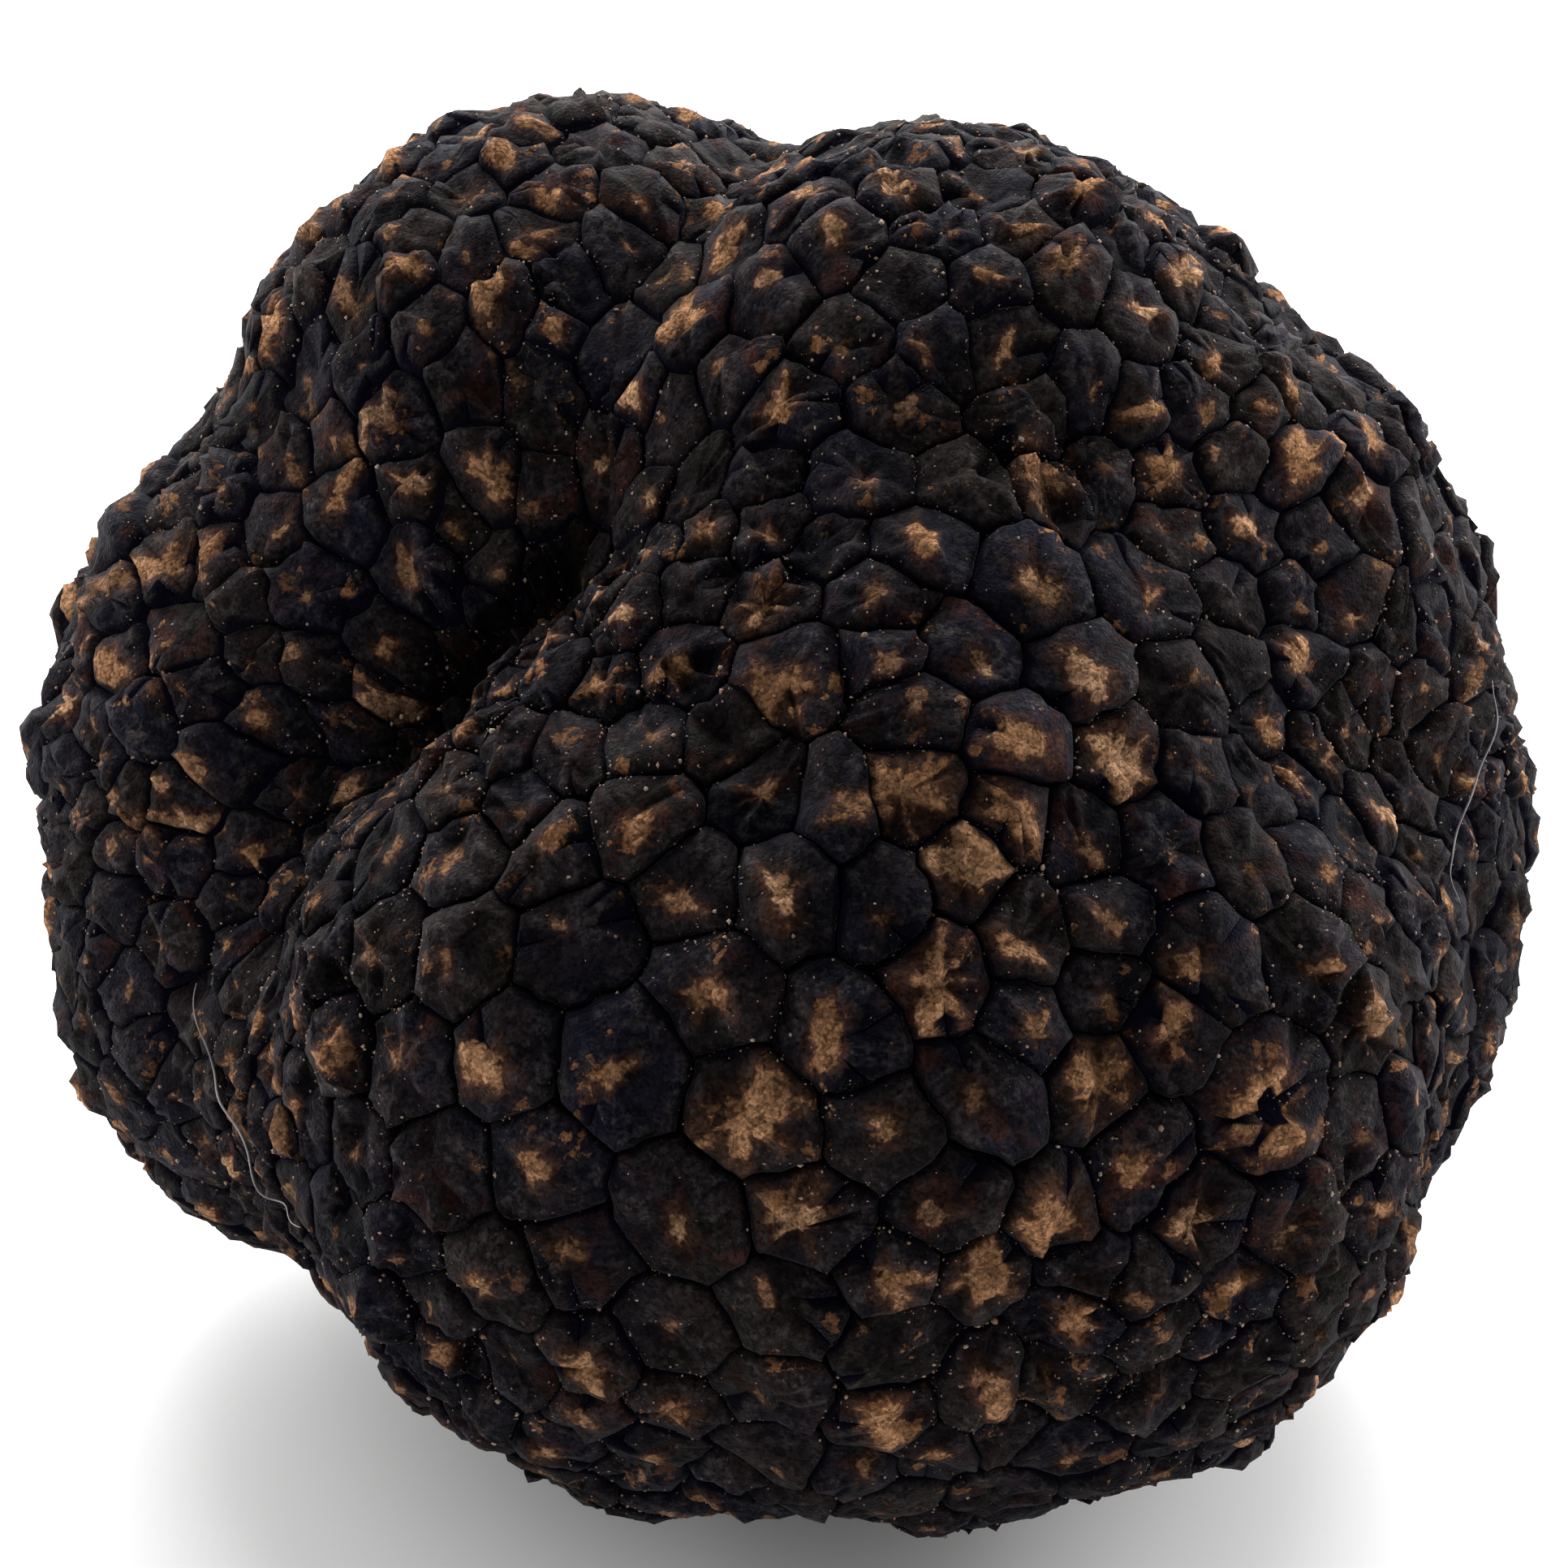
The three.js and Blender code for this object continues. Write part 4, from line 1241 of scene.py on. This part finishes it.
flat_place = add_node(tree, "ShaderNodeCombineXYZ", {0: crown[0], 1: crown[1]}).outputs[0]
from_crown = on_vectors(tree, "LENGTH", {0: flat_place}, "Value")
heading = scale(tree, on_vectors(tree, "NORMALIZE", {0: flat_place}), FINGER_COUNT)
own_heading = on_vectors(tree, "ADD", {0: heading, 1: scale(tree, wart_draw, FINGER_SPREAD)})
fingers = add_node(tree, "ShaderNodeTexNoise", {
    "Vector": own_heading, "Scale": 1.0, "Detail": 1.0,
}).outputs[0]
edge = calculate(tree, "MINIMUM", from_crown, read(tree, "streak", "Fac"))
edge = weighted(tree, flecks, FLECK_WEIGHT, edge)
edge = weighted(tree, noise(tree, place, LUMP_SIZE), LUMP_WEIGHT, edge)
edge = weighted(tree, flakes[0], FLAKE_WEIGHT, edge)
edge = weighted(tree, stands_here, HIGH_WEIGHT, edge)
edge = calculate(tree, "SUBTRACT", calculate(tree, "ADD", fingers, edge), RAGGED_MEAN)
strength = ramp(tree, crown[2], *STRENGTH_STEP)
halo = weighted(tree, ramp(tree, edge, *HALO_STEP), HALO_SHARE)
colour = mix_colour(tree, product(tree, halo, strength), colour, RUSSET)
worn = product(tree, ramp(tree, edge, *WORN_STEP), ramp(tree, grain, *WORN_GRAIN_STEP))
pale_wart = ramp(tree, draw[2], *PALE_WART_STEP)
pale_flake = ramp(tree, flakes[1], *PALE_FLAKE_STEP)
tan = mix_colour(tree, product(tree, pale_wart, pale_flake), TAN, PALE_TAN)
colour = mix_colour(tree, product(tree, worn, strength), colour, tan)

# %% [markdown]
# ## Chipped ridges
# Away from the crowns, small chips show russet or tan, most of them where a ridge stands high.
# They are Voronoi cells again: half of the cells have a chip, and its ragged edge is where the
# distance from the cell's middle, plus flecks and flakes, less the height, passes a limit.

# %% Rind: chipped ridges
CHIP_SIZE = 1.5
CHIP_HIGH_WEIGHT = -0.45
CHIP_FLECK_WEIGHT = 1.5
CHIP_FLAKE_WEIGHT = 0.35
CHIP_SHARE = 0.85
CHIP_EDGE_STEP = (1.12, 0.98)
CHIPPED_STEP = (0.50, 0.60)

from_chip, chip_draw = cells(tree, place, CHIP_SIZE)
chip_edge = weighted(tree, stands_here, CHIP_HIGH_WEIGHT, from_chip)
chip_edge = weighted(tree, flecks, CHIP_FLECK_WEIGHT, chip_edge)
chip_edge = weighted(tree, flakes[2], CHIP_FLAKE_WEIGHT, chip_edge)
chipped = ramp(tree, chip_draw[0], *CHIPPED_STEP)
chip = product(tree, ramp(tree, chip_edge, *CHIP_EDGE_STEP), chipped)
chip_colour = mix_colour(tree, chip_draw[1], RUSSET, TAN)
colour = mix_colour(tree, weighted(tree, chip, CHIP_SHARE), colour, chip_colour)

# %% [markdown]
# ## Painted shade, cracks and bump
# Low places, blots beside the cracks, and the folds get painted shade, and high places a painted
# highlight: the colour is scaled by a product of shades, two of which are random tones of grains
# and flakes. The cracks get a near-black blue of their own, which is painted shade too. Last,
# flecks and grain raise the surface in the shading alone, with a Bump node, because relief this
# fine would need millions of triangles.

# %% Rind: hollows, cracks and bump
TONE_SWING, TONE_LEAST = 1.0, 0.5
FLAKE_SWING, FLAKE_LEAST = 0.6, 0.7
PAINTED_HEIGHT_STEP = (-0.25, 0.2, 0.5, 1.3)
PAINTED_RIM_STEP = (0.45, 0.85, 0.25, 1.0)
PAINTED_FOLD_STEP = (0.25, 0.8, 1.0, 0.18)
CRACK_WANDER = 0.30
CRACK_STEP = (0.31, 0.20)
BUMP_FLECKS = 0.7
RIND_BUMP = 0.05  # mm

tone_shade = weighted(tree, tone, TONE_SWING, TONE_LEAST)
flake_shade = weighted(tree, flakes[1], FLAKE_SWING, FLAKE_LEAST)
# Painted shade and highlight: low places are darker and high places lighter.
painted_height_light_and_shade = ramp(tree, stands_here, *PAINTED_HEIGHT_STEP)
# Painted shade: in blots beside the cracks, slits and hole the colour darkens.
painted_crack_rim_shade = ramp(tree, calculate(tree, "ADD", soft_blots, gap_here), *PAINTED_RIM_STEP)
# Painted shade: the colour darkens deep in the folds, down to 0.18.
painted_fold_shade = ramp(tree, read(tree, "fold", "Fac"), *PAINTED_FOLD_STEP)
shade = product(tree, tone_shade, painted_height_light_and_shade, painted_crack_rim_shade, painted_fold_shade, flake_shade)
colour = scale(tree, colour, shade)
# Painted shade: near the cracks, slits and hole the colour turns near-black blue.
painted_crack_shade_share = ramp(tree, weighted(tree, blots, CRACK_WANDER, gap_here), *CRACK_STEP)
colour = mix_colour(tree, painted_crack_shade_share, colour, PAINTED_CRACK_SHADE)
tree.links.new(colour, shader.inputs["Base Color"])
roughness = ramp(tree, worn, 0.0, 1.0, RIND_ROUGHNESS, WORN_ROUGHNESS)
tree.links.new(roughness, shader.inputs["Roughness"])
add_bump(tree, shader, weighted(tree, flecks, BUMP_FLECKS, grain), RIND_BUMP)
rind.data.materials.append(rind_material)
print("rind material:", len(tree.nodes), "nodes")

# %% [markdown]
# ## The soil's finish
# Dry soil is matt, and each grain has a tone of its own, from brown to cream, with a few pink
# ones. The tones are an attribute of the faces, so that one material serves thousands of grains.
# The fine grain group speckles them at a finer size than the rind.

# %% Soil
SOIL_ROUGHNESS = 0.8
SOIL_SPECULAR = 0.2
SOIL_GRAINS = 30000.0  # per metre
SOIL_BUMP = 0.01  # mm
CREAM_STEP = (0.2, 0.8)
PINK_STEP = (0.6, 0.9, 0.0, 0.7)
SPECKLE_STEP = (0.2, 0.8, 0.6, 1.2)
SOIL_BROWN = (0.190, 0.108, 0.062)
SOIL_CREAM = (0.360, 0.272, 0.212)
SOIL_PINK = (0.330, 0.205, 0.190)

soil_material, tree, shader, place = new_material("soil", SOIL_ROUGHNESS, SOIL_SPECULAR)
tone = split(tree, read(tree, "tone", "Vector"))
colour = mix_colour(tree, ramp(tree, tone[0], *CREAM_STEP), SOIL_BROWN, SOIL_CREAM)
colour = mix_colour(tree, ramp(tree, tone[1], *PINK_STEP), colour, SOIL_PINK)
speckle = use_grain(tree, place, SOIL_GRAINS)[0]
colour = scale(tree, colour, ramp(tree, speckle, *SPECKLE_STEP))
tree.links.new(colour, shader.inputs["Base Color"])
add_bump(tree, shader, speckle, SOIL_BUMP)
for soil in soils:
    soil.data.materials.append(soil_material)
print("soil material:", len(tree.nodes), "nodes")

# %% [markdown]
# ## The root hairs' finish
# A dried root hair is pale, with lilac and cream stretches, and shines a little more than the
# rind. One noise drives both the colour and the roughness, so that they change together.

# %% Root hair
HAIR_ROUGHNESS = (0.35, 0.6)
HAIR_SPECULAR = 0.4
HAIR_PATCH_SIZE = 1.2
HAIR_COLOUR_STEP = (0.35, 0.65)
HAIR_ROUGH_STEP = (0.3, 0.7)
HAIR_LILAC = (0.115, 0.100, 0.125)
HAIR_CREAM = (0.210, 0.190, 0.175)

hair_material, tree, shader, place = new_material("root hair", HAIR_ROUGHNESS[0], HAIR_SPECULAR)
patches = noise(tree, place, HAIR_PATCH_SIZE)
colour = mix_colour(tree, ramp(tree, patches, *HAIR_COLOUR_STEP), HAIR_LILAC, HAIR_CREAM)
tree.links.new(colour, shader.inputs["Base Color"])
tree.links.new(ramp(tree, patches, *HAIR_ROUGH_STEP, *HAIR_ROUGHNESS), shader.inputs["Roughness"])
for hair in hairs:
    hair.data.materials.append(hair_material)
print("root hair material:", len(tree.nodes), "nodes")

# %% [markdown]
# ## Floor and air
# A pale matt floor, which is stage and not part of the truffle, and a white sky for even light.
# The floor matters to the look: it lights the underside from below.

# %% Floor and air
FLOOR_HALF = 2.0
FLOOR_ROUGHNESS = 0.9
FLOOR_SPECULAR = 0.2
FLOOR_WHITE = (0.94, 0.94, 0.94, 1)
SKY_WHITE = (1, 1, 1, 1)
SKY_STRENGTH = 0.475
floor_corners = [(-FLOOR_HALF, -FLOOR_HALF, 0), (FLOOR_HALF, -FLOOR_HALF, 0)]
floor_corners += [(FLOOR_HALF, FLOOR_HALF, 0), (-FLOOR_HALF, FLOOR_HALF, 0)]
floor_mesh = bpy.data.meshes.new("floor")
floor_mesh.from_pydata(floor_corners, [], [(0, 1, 2, 3)])
floor = bpy.data.objects.new("floor", floor_mesh)
scene.collection.objects.link(floor)
floor_material, tree, shader, place = new_material("floor", FLOOR_ROUGHNESS, FLOOR_SPECULAR)
shader.inputs["Base Color"].default_value = FLOOR_WHITE
floor_mesh.materials.append(floor_material)

world = bpy.data.worlds.new("air")
world.use_nodes = True
background = world.node_tree.nodes["Background"]
background.inputs["Color"].default_value = SKY_WHITE
background.inputs["Strength"].default_value = SKY_STRENGTH
scene.world = world
print("floor, in m:", 2 * FLOOR_HALF, "sky strength:", SKY_STRENGTH)

# %% [markdown]
# ## Lamps
# A black thing shows its form by its rims. So one weak lamp stands in front and above, and three
# stronger ones behind: above, to the left and to the right. All are large and square, for soft
# shadows. Each is turned to the truffle's middle by a small matrix, as the camera was.

# %% Lamps
# Each row is a lamp's name, its place by right, up and out, its side in metres, and its watts.
LAMPS = [
    ("key", (-200.0, 420.0, 220.0), 0.6, 0.2),
    ("rim above", (20.0, 430.0, -240.0), 0.5, 9.2),
    ("rim left", (-400.0, 200.0, -180.0), 0.4, 3.2),
    ("rim right", (400.0, 200.0, -180.0), 0.4, 4.4),
]


def add_lamp(name, place, size, power):
    """A square lamp at a place on the growing axes, facing the truffle's middle."""
    lamp_data = bpy.data.lights.new(name, "AREA")
    lamp_data.size = size
    lamp_data.energy = power
    lamp = bpy.data.objects.new(name, lamp_data)
    scene.collection.objects.link(lamp)
    at = in_frame(np.array(place))
    facing = unit(in_frame(np.zeros(3)) - at)
    across_lamp = unit(np.cross(facing, RIGHT))
    turned = np.eye(4)
    turned[:3, :3] = np.stack([across_lamp, np.cross(across_lamp, facing), -facing], -1)
    turned[:3, 3] = at
    lamp.matrix_world = Matrix(turned.tolist())


for lamp in LAMPS:
    add_lamp(*lamp)
scene.view_settings.view_transform = "Standard"
print("lamps, in watts:", {name: power for name, place, size, power in LAMPS})
